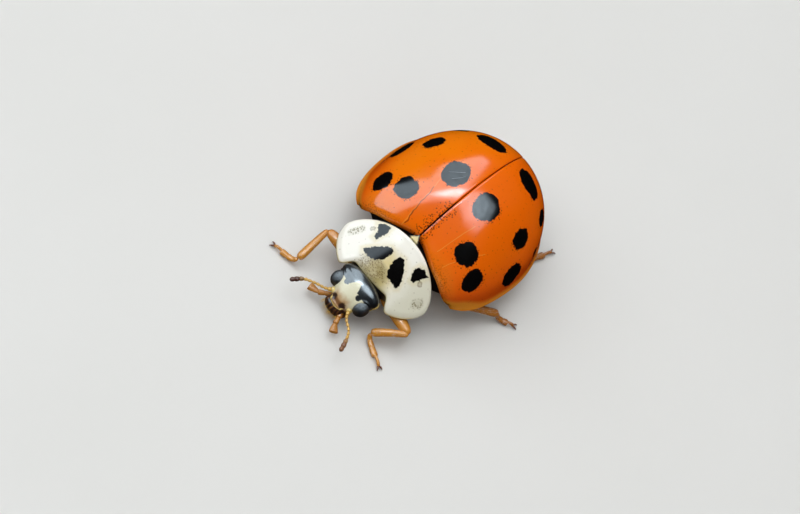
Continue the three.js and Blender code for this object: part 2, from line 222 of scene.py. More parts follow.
# %% A finish and the fields it can draw
class Finish(Recipe):
    """A material with one Principled shader, and the patterns that dress it."""

    def __init__(self, name, **constants):
        self.material = bpy.data.materials.new(name)
        self.material.use_nodes = True
        super().__init__(self.material.node_tree)
        self.shader = self.tree.nodes["Principled BSDF"]
        self.wear(**constants)
        spot = self.node("ShaderNodeTexCoord", gives="Object")
        self.where = self.scaled(self.vector("SUBTRACT", spot, tuple(origin)), 1 / MM)
        self.x, self.y, self.z = self.where.parts()

    def wear(self, **sockets):
        """Sets or links the shader's sockets. Underscores stand for the spaces in their names."""
        for name, value in sockets.items():
            self.plug(self.shader.inputs[name.replace("_", " ")], value)

    def mix(self, mask, below, above):
        """above where the mask is 1, below where it is 0."""
        return self.node(
            "ShaderNodeMix", {"data_type": "RGBA"}, {0: mask, 6: below, 7: above}, gives=2
        )

    def attribute(self, name):
        return self.node("ShaderNodeAttribute", {"attribute_name": name}, gives="Fac")

    def paint(self, mask, above):
        """Lays a colour over the finish where the mask is 1."""
        self.colour = self.mix(mask, self.colour, above)

    def noise(self, size, detail=2.0, where=None):
        """Cloudy noise from 0 to 1, with lumps about size mm across."""
        sockets = {"Vector": where or self.where, "Scale": 1 / size, "Detail": detail}
        return self.node("ShaderNodeTexNoise", sockets=sockets)

    def cells(self, size):
        """Distance to the nearest of many scattered points about size mm apart, in sizes."""
        return self.node("ShaderNodeTexVoronoi", sockets={"Vector": self.where, "Scale": 1 / size})

    def ball(self, centre, radius, squeeze=(1, 1, 1)):
        """The field of a round mark about a point on the surface."""
        offset = self.vector("SUBTRACT", self.where, centre)
        squeezed = self.vector("MULTIPLY", offset, squeeze)
        return self.vector("LENGTH", squeezed, gives="Value") - radius

    def drop(self, start, end, start_radius, end_radius, wander=0.0):
        """The field of a teardrop drawn from start to end, seen from above. wander bends it."""
        run_x = end[0] - start[0]
        run_y = end[1] - start[1]
        x = self.x + wander - start[0]
        y = self.y - start[1]
        along = ((x * run_x + y * run_y) / (run_x ** 2 + run_y ** 2)).most(0.0).least(1.0)
        off_x = x - along * run_x
        off_y = y - along * run_y
        reach = start_radius + along * (end_radius - start_radius)
        return (off_x * off_x + off_y * off_y).root() - reach

    def patch(self, corners):
        """The field of a patch with straight sides, seen from above. It has no hollow corners."""
        middle_x = sum(corner[0] for corner in corners) / len(corners)
        middle_y = sum(corner[1] for corner in corners) / len(corners)
        farthest = None
        for start, end in zip(corners, corners[1:] + corners[:1]):
            out = Vector((end[1] - start[1], start[0] - end[0])).normalized()
            if out.x * (middle_x - start[0]) + out.y * (middle_y - start[1]) > 0:
                out = -out
            beyond = self.x * out.x + self.y * out.y - (out.x * start[0] + out.y * start[1])
            farthest = beyond if farthest is None else farthest.most(beyond)
        return farthest


def union(fields):
    """One field for several marks: the nearest mark counts."""
    return reduce(Value.least, fields)


# %% Finishes without a pattern of their own
def cloudy(name, dark, light, lump=(0.3, 3.0), grain=None, roughness=0.4, **constants):
    """A plain finish: two colours in clouds, over a fine grain of a size and a depth in mm."""
    finish = Finish(name, Roughness=roughness, **constants)
    finish.wear(Base_Color=finish.mix(finish.noise(*lump), dark, light))
    if grain:
        finish.wear(Normal=finish.noise(grain[0]).bump(grain[1]))
    return finish


# %% [markdown]
# ## Turning rules and rows into pieces
#
# Two ways of making a mesh are enough here. What follows a rule or repeats is a Geometry Nodes
# tree, run once on a carrier object and then kept as a plain mesh. What is sculpted is a lattice
# of rows of points, joined into a skin. Both end as an object at the origin with its place in
# its mesh, riding on the one body that a still model has.

# %% Skins from rows of points
CLOSE = 0.0000005     # metres; points nearer than this are one point
SIDES = (("left", 1), ("right", -1))


def link(piece):
    bpy.context.scene.collection.objects.link(piece)
    return piece


def tidy_mesh(mesh, outward=None):
    """Closes seams and poles and turns the faces out. outward is a rough direction for a sheet."""
    form = bmesh.new()
    form.from_mesh(mesh)
    bmesh.ops.remove_doubles(form, verts=form.verts, dist=CLOSE)
    bmesh.ops.dissolve_degenerate(form, edges=form.edges, dist=CLOSE)
    bmesh.ops.recalc_face_normals(form, faces=form.faces)
    if outward is not None:
        lean = sum((face.normal * face.calc_area() for face in form.faces), Vector())
        if lean.dot(Vector(outward)) < 0:
            bmesh.ops.reverse_faces(form, faces=form.faces)
    form.to_mesh(mesh)
    form.free()
    mesh.shade_smooth()


def skin(name, rows, finish, around=False, outward=None):
    """A piece from rows of points in beetle millimetres. around joins each row's ends."""
    rows = np.asarray(rows, float)
    count, columns = rows.shape[:2]
    points = rows.reshape(-1, 3) * MM + np.array(origin)
    steps = columns if around else columns - 1
    faces = []
    for row in range(count - 1):
        for column in range(steps):
            near = row * columns + column
            side = row * columns + (column + 1) % columns
            faces.append((near, side, side + columns, near + columns))
    mesh = bpy.data.meshes.new(name)
    mesh.from_pydata(points.tolist(), [], faces)
    tidy_mesh(mesh, outward)
    mesh.materials.append(finish.material)
    return link(bpy.data.objects.new(name, mesh))


# %% Rows by rule, plain meshes and walls
def lattice(rows, columns, row_rule, around=False):
    """Rows of points. row_rule takes a share of the way along and gives that row's own rule,
    which takes a share of the way across and gives a point."""
    across = [column / columns for column in range(columns if around else columns + 1)]
    return [[point(share) for share in across]
            for point in (row_rule(row / rows) for row in range(rows + 1))]


def plain(piece):
    """The piece as a plain mesh object, with its modifiers worked in."""
    name = piece.name
    graph = bpy.context.evaluated_depsgraph_get()
    mesh = bpy.data.meshes.new_from_object(piece.evaluated_get(graph), depsgraph=graph)
    bpy.data.objects.remove(piece)
    mesh.name = name
    return link(bpy.data.objects.new(name, mesh))


def walled(piece, thickness):
    """The sheet with a wall of a thickness in mm, built inwards."""
    wall = piece.modifiers.new("wall", "SOLIDIFY")
    wall.thickness = thickness * MM
    wall.offset = -1
    return plain(piece)


# %% Running a Geometry Nodes tree
class Rule(Recipe):
    """A Geometry Nodes tree with named inputs."""

    def __init__(self, name):
        super().__init__(bpy.data.node_groups.new(name, "GeometryNodeTree"))
        self.tree.interface.new_socket("Geometry", in_out="OUTPUT", socket_type="NodeSocketGeometry")
        self.tree.interface.new_socket("Geometry", in_out="INPUT", socket_type="NodeSocketGeometry")
        self.given = self.tree.nodes.new("NodeGroupInput")

    def ask(self, *names, kind="Float"):
        """Named inputs of one kind: Float, Int, Vector or Material."""
        for name in names:
            self.tree.interface.new_socket(name, in_out="INPUT", socket_type="NodeSocket" + kind)
        asked = [Value(self, self.given.outputs[name]) for name in names]
        return asked if len(asked) > 1 else asked[0]

    def geometry(self):
        return Value(self, self.given.outputs["Geometry"])

    def keep(self, shape, name, value, **kind):
        """Stores a value on the shape's points under a name."""
        return self.node(
            "GeometryNodeStoreNamedAttribute", kind, {0: shape, "Name": name, "Value": value}
        )

    def kept(self, name, kind="FLOAT"):
        return self.node("GeometryNodeInputNamedAttribute", {"data_type": kind}, {"Name": name})

    def moved(self, shape, position):
        return self.node("GeometryNodeSetPosition", sockets={0: shape, "Position": position})

    def end(self, shape, material):
        """Every tree ends in real faces with their finish on."""
        real = self.node("GeometryNodeRealizeInstances", sockets={0: shape})
        dressed = self.node("GeometryNodeSetMaterial", sockets={0: real, "Material": material})
        out = self.tree.nodes.new("NodeGroupOutput")
        self.plug(out.inputs["Geometry"], dressed)

    def run(self, name, data=None, **inputs):
        """Runs the tree on some data and gives the result as a plain piece."""
        carrier = link(bpy.data.objects.new(name, data or bpy.data.meshes.new(name)))
        modifier = carrier.modifiers.new("rule", "NODES")
        modifier.node_group = self.tree
        for item in self.tree.interface.items_tree:
            key = item.name.replace(" ", "_").lower()
            if item.in_out == "INPUT" and key in inputs:
                modifier[item.identifier] = inputs[key]
        return plain(carrier)


# %% Riding on the body
made_pieces = []


def place(piece, slot, *nodes):
    """Says what a finished piece rides on and which solids it stands for. slot is not used."""
    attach(piece, "root")
    if nodes:
        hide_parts(*nodes)
    made_pieces.append(piece)
    print(f"{piece.name}: {len(piece.data.polygons)} faces")
    return piece


# %% [markdown]
# ## The wing cases
#
# The two domed cases, the elytra, are the animal's main shell. Their outline and their arch are
# both superellipses, so each is a rule: a grid whose points are moved by a formula. Near the
# lower margin the real shell flares out into a narrow flange, a gutter that is widest at the
# shoulder. An exponential of the height gives that flare without a crease. The front edge and
# the edge along the middle seam are rounded over, and a Solidify modifier then gives the sheet
# the thickness of a real shell.

# %% The dome's formula as a Geometry Nodes tree
WIDEST_AT = 0.426          # share of the length
HIGHEST_AT = 0.464
BASE_WIDTH_SHARE = 0.757   # width and height of the front edge, as shares of the greatest
BASE_HEIGHT_SHARE = 0.52
BASE_REACH = 0.15          # the front edge reaches forward this far on each side
BASE_NOTCH = 0.3           # on the midline it is notched this deep for the scutellum
BASE_NOTCH_WIDTH = 0.33    # as a share of the half width
SHOULDER_SETBACK = 0.42    # the corners are rounded back by this much
SHOULDER_POWER = 14
OUTLINE_POWER = 2.06
PROFILE_POWER = 2.047
ARCH_POWER = 2.033
ARCH_ROOT = 1.722
GUTTER_HEIGHT = 0.13       # how high up the side the flange's flare reaches
MARGIN_RISE = 0.03         # the margin is lifted by this much
CALLUS_AT = (0.72, 0.1)    # shares of the half width and of the length
CALLUS_HEIGHT = 0.07
CALLUS_SHARPNESS = 22
HALF_SEAM = 0.004          # each case stands this far off the midline


# %% The dome as formulas, for numbers and for sockets
def floored(value):
    """A number or a socket, but never below 0."""
    return value.most(0.0) if isinstance(value, Value) else max(value, 0.0)


def swell(t, peak, base, lift, power):
    """1 at the peak, the base's share at the front, where t is 0, and 0 at the rear."""
    before = floored((peak - t) / peak)
    past = floored((t - peak) / (1 - peak))
    front = base + (1 - base) * (1 - before ** 2.0) ** lift
    return front * floored(1 - past ** power) ** (1 / power)


def outline(t):
    return swell(t, WIDEST_AT, BASE_WIDTH_SHARE, 0.5, OUTLINE_POWER)


def profile(t):
    return swell(t, HIGHEST_AT, BASE_HEIGHT_SHARE, 1.0, PROFILE_POWER)


def arch(share):
    return floored(1 - share ** ARCH_POWER) ** (1 / ARCH_ROOT)


def base_edge(share, t=0.0):
    """How far the front edge's shape moves a point back, at a share of the half width."""
    notch = BASE_NOTCH * math.e ** (-1.0 * (share / BASE_NOTCH_WIDTH) ** 2.0)
    return (notch + SHOULDER_SETBACK * share ** SHOULDER_POWER - BASE_REACH) * (1 - t) ** 4.0


# %% The wing case rule
def wing_case_rule():
    rule = Rule("wing case")
    length, half_width, height, side = rule.ask("Length", "Half Width", "Height", "Side")
    flange, shoulder_flange, lip = rule.ask("Flange", "Shoulder Flange", "Lip")
    across, along = rule.ask("Points Across", "Points Along", kind="Int")
    start = rule.ask("Origin", kind="Vector")
    material = rule.ask("Material", kind="Material")

    grid = rule.node(
        "GeometryNodeMeshGrid", sockets={0: 1.0, 1: 1.0, "Vertices X": across, "Vertices Y": along}
    )
    grid_x, grid_y, _ = rule.node("GeometryNodeInputPosition").parts()
    share = ((grid_x + 0.5) * (math.pi / 2)).sine().least(1.0)
    t = ((grid_y + 0.5) * (math.pi / 2)).sine().least(1.0)
    width = half_width * outline(t)
    y = length * t + base_edge(share, t)
    z = height * profile(t) * arch(share)

    # the flange: the side is drawn in, except just above the margin
    drawn_in = 1 - math.e ** (z * (-1 / GUTTER_HEIGHT))
    flare = (flange + (shoulder_flange - flange) * (1 - t) ** 6.0) * drawn_in
    flare = flare * (width / (half_width * 0.35)).least(1.0)
    backward = floored((t - WIDEST_AT) / (1 - WIDEST_AT)) ** 4.0
    x = width * share - flare * share ** 4.0 * (1 - backward)
    y = y - flare * backward
    z = z + MARGIN_RISE * (1 - drawn_in)

    # the front edge and the seam edge roll under
    front_turn = floored(1 - t * length / lip).least(1.0)
    seam_turn = floored(1 - x / (lip * 0.5)).least(1.0)
    z = z - lip * (1 - (1 - front_turn ** 2.0).root())
    z = z - lip * 0.4 * (1 - (1 - seam_turn ** 2.0).root()) * (z * 2.0).least(1.0).most(0.0)
    # the shoulder callus, a low swelling inside each front corner
    off_callus = (share - CALLUS_AT[0]) ** 2.0 + ((t - CALLUS_AT[1]) * 2.4) ** 2.0
    z = z + CALLUS_HEIGHT * math.e ** (off_callus * -CALLUS_SHARPNESS)
    x = (x + HALF_SEAM) * side

    placed = rule.vector("ADD", start, rule.scaled(rule.point(x, y, z), MM))
    rule.end(rule.moved(grid, placed), material)
    return rule


case_rule = wing_case_rule()
print("nodes in the wing case rule:", len(case_rule.tree.nodes))

# %% [markdown]
# ### The wing cases' finish
#
# The shell is a clear varnish-like layer over orange pigment. Its colour also carries painted light
# and shade: a lighter, yellower orange on the lit right case, a deeper orange on the low sides and
# a dark red band above the margin, heaviest on the left. The pigment is yellower at the base and in
# the thin, translucent margin. Each black spot is a round mark on the curved surface with a ragged
# edge, because the pigment follows the tiny pits. Along the front of the middle seam the pits are
# stained brown, and a few pale veins show through.

# %% Where the spots are
# Each spot: distance from the seam, distance back, radius, and how it is squeezed along x and y.
ROW_SPOTS = [
    (1.98, 0.67, 0.34, 1.05, 0.88),
    (1.31, 0.74, 0.37, 1.0, 1.05),
    (0.674, 1.91, 0.42, 1.0, 0.96),
    (1.93, 2.58, 0.31, 1.0, 0.9),
    (2.53, 2.18, 0.42, 1.0, 1.0),
    (0.82, 3.88, 0.52, 1.0, 1.55),
    (1.76, 3.95, 0.28, 1.0, 1.0),
    (2.38, 3.45, 0.17, 1.0, 1.0),
    (0.98, 4.78, 0.30, 1.0, 1.1),
]


# %% How high the dome is at a spot
def dome_height(x, y):
    """The height of the wing cases' surface above a point, by the same formula."""
    t = y / case_length
    for _ in range(9):
        t = min(floored(t), 1.0)
        share = min(abs(x) / (case_half_width * outline(t)), 1.0)
        height = case_height * profile(t) * arch(share)
        t = (y - base_edge(share, t)) / case_length
    return height


print(len(ROW_SPOTS), "spots on each wing case")

# %% Orange, black and the pale veins
LIT_ORANGE = srgb(244, 124, 3)
RICH_ORANGE = srgb(244, 106, 1)
DEEP_SHADE_ORANGE = srgb(228, 84, 1)
AMBER = srgb(214, 138, 38)
PALE_RIM = srgb(222, 170, 84)
BLACK = srgb(9, 8, 8)
GUTTER_SHADE = {"left": 0.45, "right": 0.15}
VEIN = srgb(240, 170, 70)
STAIN = srgb(60, 22, 8)
CRACK_RED = srgb(120, 34, 6)
PIT_RED = srgb(112, 40, 6)
GUTTER_SHADE_RED = srgb(150, 48, 4)
SCRATCH = srgb(190, 196, 206)

# Each line: its start, its end, and how far it reaches to each side at both.
VEINS = {
    "right": [((-0.60, 0.04), (-0.84, 1.5), 0.008, 0.006)],
    "left": [((0.70, 0.20), (0.88, 1.32), 0.006, 0.006), ((1.12, 0.07), (1.65, 1.24), 0.005, 0.005)],
}
WAVY_LINE = ((-0.575, 0.10), (-0.79, 1.19), 0.014, 0.008)
SCRATCHES = [
    ((-0.84, 1.80), (-0.52, 2.12), 0.001, 0.004),
    ((-0.62, 1.70), (-0.42, 2.02), 0.003, 0.001),
]


# %% Pigment, veins, pits and spots
def wing_case_finish(side_name, side):
    finish = Finish(
        f"wing case {side_name}",
        Coat_Weight=1.0, Coat_Roughness=0.14, Coat_IOR=1.6, Specular_IOR_Level=0.0,
    )
    x, y, z = finish.x, finish.y, finish.z
    cloud = finish.noise(0.9, 3.0)
    grain = finish.noise(0.05, 2.0)

    # the pigment, with painted light and shade
    low = z.ramp(1.5, 0.2)
    # painted light: the right case, where the key light falls, is a lighter, yellower orange than the
    # redder left
    towards_left = (x + cloud - y * 0.2).ramp(-1.6, 0.3)
    finish.colour = finish.mix(towards_left, LIT_ORANGE, RICH_ORANGE)
    # painted shade: the low sides are darkened to a deeper orange, broken up by clouds
    finish.paint(low * 0.8 + (cloud - 0.5) * 0.5, DEEP_SHADE_ORANGE)
    base = (y + cloud * 0.3).ramp(0.5, 0.0)
    finish.paint(base * 0.3, AMBER)
    edge = (y + abs(x) * 0.06 + cloud * 0.1).ramp(0.08, -0.12)
    finish.paint(edge * 0.75, PALE_RIM)
    # painted shade: a dark red band above the margin, strong on the left case and faint on the right
    gutter = z.ramp(0.95, 0.3)
    finish.paint(gutter * GUTTER_SHADE[side_name], GUTTER_SHADE_RED)
    shoulder = y.ramp(1.3, 0.3)
    margin = (z + (cloud - 0.5) * 0.06 - shoulder * 0.32).ramp(0.26, 0.02)
    finish.paint(margin * 0.85, AMBER)

    # pale veins under the surface
    wander = (finish.noise(0.3, 1.0) - 0.5) * 0.16
    for vein in VEINS[side_name]:
        finish.paint(finish.drop(*vein, wander * 0.5).inside(0.012) * 0.7, VEIN)
    if side_name == "right":
        finish.paint(finish.drop(*WAVY_LINE, wander).inside(0.01) * 0.85, CRACK_RED)

    # stained pits beside the front of the seam and along the base
    pits = finish.cells(0.05)
    pit_luck = pits.also("Color").parts()[0]
    beside_seam = abs(x).ramp(0.36, 0.02) * y.ramp(1.4, 0.9)
    stained = (pit_luck + beside_seam * 0.95).ramp(0.9, 1.1)
    dots = (pits - 0.42).inside(0.16) * stained
    finish.paint(dots * 0.9, STAIN)
    along_base = (y + cloud * 0.3).ramp(0.3, 0.0) * 0.6
    finish.paint((pits - 0.36).inside(0.2) * along_base, PIT_RED)

    # the spots
    ragged = (finish.noise(0.13, 4.0) - 0.5) * 0.13 + (finish.noise(0.4, 1.0) - 0.5) * 0.2
    ragged = ragged + (grain - 0.5) * 0.07
    all_spots = union([
        finish.ball((side * off_seam, back, dome_height(off_seam, back)), radius, (*squeeze, 1))
        for off_seam, back, radius, *squeeze in ROW_SPOTS
    ])
    finish.paint((all_spots + ragged).inside(0.012), BLACK)
    strays = (pits - 0.34).inside(0.14) * (pit_luck - all_spots * 5.0).ramp(0.3, 0.6)
    finish.paint(strays * 0.95, BLACK)
    if side_name == "right":
        scratches = union([finish.drop(*scratch, wander * 0.4) for scratch in SCRATCHES])
        finish.paint(scratches.inside(0.008) * 0.75, SCRATCH)

    # the seam's dark edge, heavier in front
    front_seam = y.ramp(1.5, 1.2)
    seam = (abs(x) - 0.008 - front_seam * 0.018).inside(0.006)
    finish.paint(seam * 0.9, finish.mix(front_seam, CRACK_RED, BLACK))

    relief = (pits - 0.16).inside(0.16) * -0.35 + grain * 0.25 + finish.noise(0.02, 1.0) * 0.2
    finish.wear(
        Base_Color=finish.colour,
        Roughness=0.36 + (cloud - 0.5) * 0.1,
        Normal=relief.bump(0.0022),
    )
    return finish


# %% Both wing cases
SHELL_THICKNESS = 0.09
FLANGE = 0.1
SHOULDER_FLANGE = 0.11
CASE_LIP = 0.13        # over this length the front edge rolls under
for side_name, side in SIDES:
    case = case_rule.run(
        f"wing_case_{side_name}",
        length=case_length, half_width=case_half_width, height=case_height,
        flange=FLANGE, shoulder_flange=SHOULDER_FLANGE, lip=CASE_LIP, side=float(side),
        points_across=150, points_along=190, origin=tuple(origin),
        material=wing_case_finish(side_name, side).material,
    )
    tidy_mesh(case.data, outward=(0, 0, 1))
    place(walled(case, SHELL_THICKNESS), "wing_case", f"elytron_{side_name}")

# %% [markdown]
# ## The neck shield
#
# The pronotum covers the neck like a saddle: white, with four black marks. Its rear edge is one
# smooth arc against the wing cases; its front edge is hollowed for the head and steps forward
# to a rounded corner on each side. It is a sheet whose rows run from the rear edge to the front
# edge, rolled under all round and given a thin wall.

# %% The shield's edges and height
SHIELD_HALF_WIDTH = 1.74
SHIELD_SIDE_X = 1.52       # where the sides are taken to begin
SHIELD_WIDEST_Y = -0.68
SHIELD_REAR_DEPTH = 0.6
SHIELD_FRONT_DEPTH = 1.03
SHIELD_NECK_Y = -1.45
SHIELD_NECK_HALF_WIDTH = 0.64
SHIELD_CORNER_X = 1.02
SHIELD_CROWN = 1.33
SHIELD_SIDE_DROP = 0.77
SHIELD_SLOPE = 0.45
SHIELD_ARCH = 0.16
SHIELD_ROLL = 0.09        # radius of the rolled edge
SHIELD_ROUNDING = 0.15    # over this length the front corners are rounded
SHIELD_BEAD = 0.01
SHIELD_THICKNESS = 0.07
print(f"neck shield {2 * SHIELD_HALF_WIDTH:.2f} mm wide")


def super_curve(distance, power):
    return max(1 - abs(distance) ** power, 0.0) ** (1 / power)


def smooth_step(value, low, high):
    share = min(max((value - low) / (high - low), 0.0), 1.0)
    return share * share * (3 - 2 * share)


def shield_height(x, y):
    """The saddle's height above a point, for numbers or sockets."""
    sides = SHIELD_SIDE_DROP * (abs(x) / SHIELD_HALF_WIDTH) ** 2.2
    return SHIELD_CROWN + SHIELD_SLOPE * y - SHIELD_ARCH * y * y - sides


def shield_rear(x):
    return SHIELD_WIDEST_Y + SHIELD_REAR_DEPTH * super_curve(x / SHIELD_HALF_WIDTH, 2)


def shield_front(x):
    neck = SHIELD_NECK_Y + 0.08 * min(abs(x) / 0.7, 1.2) ** 2
    outer = max((abs(x) - 0.6) / (SHIELD_HALF_WIDTH - 0.6), 0.0)
    side = SHIELD_WIDEST_Y - SHIELD_FRONT_DEPTH * super_curve(outer, 1.65)
    blend = smooth_step(abs(x), SHIELD_NECK_HALF_WIDTH, SHIELD_CORNER_X)
    return neck + (side - neck) * blend


# %% Even steps, and rounded corners
def evenly(route, count):
    """count + 1 points at even steps along a closely drawn route."""
    route = np.array(route)
    walked = np.concatenate([[0], np.cumsum(np.hypot(*np.diff(route, axis=0).T))])
    even = np.linspace(0, walked[-1], count + 1)
    return np.stack([np.interp(even, walked, route[:, 0]), np.interp(even, walked, route[:, 1])], 1)


def rounded(route, reach, count=1600):
    """The same route with its corners rounded over a reach in mm. Its ends stay where they are."""
    route = evenly(route, count)
    step = np.hypot(*(route[1] - route[0]))
    window = int(reach / step)
    before = 2 * route[0] - route[window:0:-1]
    beyond = 2 * route[-1] - route[-2:-window - 2:-1]
    longer = np.concatenate([before, route, beyond])
    weights = np.hanning(2 * window + 1)
    weights = weights / weights.sum()
    return np.stack([np.convolve(longer[:, axis], weights, "valid") for axis in (0, 1)], 1)


# %% The shield as a sheet between four edges
def shield_edges(columns, rows):
    """The outline in four runs: rear and front from right to left, and the sides front to rear."""
    across = SHIELD_SIDE_X * np.linspace(-1, 1, 3001)
    rear = evenly([(x, shield_rear(x)) for x in across], columns)
    front = evenly(rounded([(x, shield_front(x)) for x in across], SHIELD_ROUNDING), columns)
    turn = np.linspace(0, 1, 1501)
    to_side = SHIELD_SIDE_X + (SHIELD_HALF_WIDTH - SHIELD_SIDE_X) * np.sin(math.pi / 2 * turn)
    side = [(x, shield_front(x)) for x in to_side] + [(x, shield_rear(x)) for x in to_side[::-1]]
    left = evenly(side, rows)
    return rear, front, left * (-1, 1), left


def shield_rows(columns=190, rows=84):
    """Blends the four edges into a sheet, and rolls the sheet under near its edge."""
    rear, front, right, left = shield_edges(columns, rows)
    closer = shield_edges(columns * 12, rows * 12)
    outline_points = KDTree(sum(len(run) for run in closer))
    for number, point in enumerate(np.concatenate(closer)):
        outline_points.insert((*point, 0), number)
    outline_points.balance()

    def row_rule(v):
        row = round(v * rows)

        def point(u):
            column = round(u * columns)
            corners = (1 - u) * ((1 - v) * front[0] + v * rear[0])
            corners = corners + u * ((1 - v) * front[-1] + v * rear[-1])
            spot = ((1 - v) * front[column] + v * rear[column]
                    + (1 - u) * right[row] + u * left[row] - corners)
            x, y = float(spot[0]), float(spot[1])
            edge = outline_points.find((x, y, 0))[2]
            turn = max(1 - edge / SHIELD_ROLL, 0.0)
            roll = SHIELD_ROLL * (1 - math.sqrt(max(1 - turn * turn, 0.0)))
            bead = SHIELD_BEAD * math.exp(-((edge - 0.1) / 0.05) ** 2)
            return x, y, shield_height(x, y) - roll + bead

        return point

    return lattice(rows, columns, row_rule)


# %% The shield's colours and marks
WHITE = srgb(251, 249, 238)
CREAM = srgb(222, 206, 148)
IVORY_SHADE = srgb(206, 204, 170)
OLIVE = srgb(120, 106, 52)
BROWN = srgb(96, 66, 26)

# The corners of each mark in turn. The outer right mark is made of two patches.
SHIELD_MARKS = [
    [(-0.80, -1.06), (-0.61, -0.86), (-0.27, -0.61), (-0.10, -0.65), (-0.15, -0.95), (-0.31, -1.11),
     (-0.56, -1.14), (-0.74, -1.12)],
    [(0.11, -0.61), (0.25, -0.58), (0.43, -0.71), (0.67, -0.93), (0.74, -1.10), (0.68, -1.17),
     (0.50, -1.16), (0.30, -1.16), (0.16, -1.04), (0.07, -0.82)],
    [(-1.06, -0.35), (-0.88, -0.25), (-0.69, -0.27), (-0.66, -0.45), (-0.71, -0.57), (-0.89, -0.55)],
    [(-0.70, -0.45), (-0.70, -0.60), (-0.74, -0.72), (-0.87, -0.68), (-0.89, -0.45)],
    [(0.79, -0.75), (0.66, -0.54), (0.70, -0.37), (0.88, -0.30), (1.07, -0.31), (1.00, -0.50),
     (0.91, -0.69)],
]
SHIELD_PITS = [(-1.40, -0.81), (1.37, -0.89)]
SHIELD_RINGS = [(-1.07, -0.53), (1.06, -0.58)]


# %% The shield's finish
def shield_finish():
    finish = Finish("neck shield", Coat_Weight=0.9, Coat_Roughness=0.14, Specular_IOR_Level=0.0)
    x, y, z = finish.x, finish.y, finish.z
    cloud = finish.noise(0.5, 3.0)
    grain = finish.noise(0.045, 2.0)
    pits = finish.cells(0.06)

    marks = union([finish.patch(mark) for mark in SHIELD_MARKS])
    middle = abs(x - 0.05).ramp(0.9, 0.2) * y.ramp(-0.4, -0.85)
    near_marks = marks.ramp(0.16, 0.02) * 0.5
    finish.colour = finish.mix(middle.most(near_marks) * (0.35 + cloud * 0.9), WHITE, CREAM)
    # painted shade: the shield's left part, away from the key light, is painted ivory
    shade = (x + (cloud - 0.5) * 0.6).ramp(0.5, 1.2) * 0.5
    finish.paint(shade, IVORY_SHADE)

    # brown stippling behind the head
    reach_x = (x + 0.12) / 0.62
    reach_y = (y + 1.27) / 0.3
    mottled = (reach_x * reach_x + reach_y * reach_y + (cloud - 0.5) * 1.2).ramp(1.3, 0.3)
    finish.paint(mottled * cloud * 0.95, OLIVE)
    luck = pits.also("Color").parts()[0]
    fine_pits = finish.cells(0.042)
    fine_luck = fine_pits.also("Color").parts()[0]
    fine_noise = finish.noise(0.06, 2.0)
    stipple = (fine_pits - 0.4).inside(0.22) * (fine_luck + mottled).ramp(1.0, 1.3)
    finish.paint(stipple * 0.7, BROWN)
    few = (pits - 0.3).inside(0.16) * (luck + middle * 0.1).ramp(0.93, 1.0)
    finish.paint(few * 0.35, BROWN)

    # the round olive patches of pits near the sides, and a small ring beside each outer mark
    patches = union([finish.drop(c, (c[0] + 0.1, c[1] + 0.13), 0.1, 0.1) for c in SHIELD_PITS])
    patch = (patches + (cloud - 0.5) * 0.12).inside(0.06)
    patch_pits = (pits - 0.42).inside(0.16) * 0.6 + 0.2
    finish.paint(patch * patch_pits, OLIVE)
    rings = [finish.drop(c, (c[0] + 0.02, c[1] + 0.01), 0.0, 0.0) for c in SHIELD_RINGS]
    ring = union(rings) + (fine_noise - 0.5) * 0.09
    finish.paint((ring - 0.06).inside(0.03) * 0.35, OLIVE)
    finish.paint((abs(ring - 0.052) - 0.012).inside(0.02) * 0.5, BROWN)

    # a brown line under the rolled front edge
    top = shield_height(x, y)
    fold = (top - z).ramp(0.02, 0.075) * y.ramp(-0.95, -1.15)
    finish.paint(fold * 0.8, CREAM)
    under = (top - z).ramp(0.07, 0.1) * y.ramp(-0.95, -1.15)
    finish.paint(under * 0.9, BROWN)

    ragged = (finish.noise(0.1, 3.0) - 0.5) * 0.09 + (grain - 0.5) * 0.06
    black = (marks + ragged).inside(0.012)
    finish.paint(black, BLACK)

    relief = (pits - 0.2).inside(0.2) * -0.5 * (0.4 + patch) + grain * 0.3
    finish.wear(
        Base_Color=finish.colour,
        Roughness=0.5 + (cloud - 0.5) * 0.12,
        Normal=relief.bump(0.002),
    )
    return finish


shield = skin("neck_shield", shield_rows(), shield_finish(), outward=(0, 0, 1))
place(walled(shield, SHIELD_THICKNESS), "pronotum_shell", "pronotum")

# %% [markdown]
# ## The scutellum
#
# Where the two wing cases and the neck shield meet there is a tiny cream triangle, the
# scutellum. It is a plate that follows the dome just below it, with its edge rolled under.

# %% The scutellum's plate
SCUTELLUM_HALF_WIDTH = 0.2
SCUTELLUM_LENGTH = 0.27
SCUTELLUM_FRONT = -0.07
SCUTELLUM_LIFT = 0.012
SCUTELLUM_ROLL = 0.05
SCUTELLUM_THICKNESS = 0.14


def scutellum_row(share):
    half = SCUTELLUM_HALF_WIDTH * (1 - share) ** 0.85
    y = SCUTELLUM_FRONT + SCUTELLUM_LENGTH * share

    def point(across_share):
        across = 2 * across_share - 1
        edge = max(abs(across), 1 - 6 * share, 2 * share - 1)
        roll = SCUTELLUM_ROLL * max((edge - 0.72) / 0.28, 0.0) ** 2
        height = dome_height(0.05 + 0.5 * abs(across) * half, max(y, 0.0))
        return across * half, y, height + SCUTELLUM_LIFT - roll

    return point


def scutellum_finish():
    finish = Finish("scutellum", Coat_Weight=0.5, Coat_Roughness=0.15)
    spread = finish.drop((0.0, -0.04), (0.0, 0.13), 0.13, 0.01) + (finish.noise(0.08) - 0.5) * 0.05
    finish.colour = finish.mix(spread.inside(0.03), BLACK, CREAM)
    finish.wear(Base_Color=finish.colour, Roughness=0.45, Normal=finish.noise(0.03).bump(0.003))
    return finish


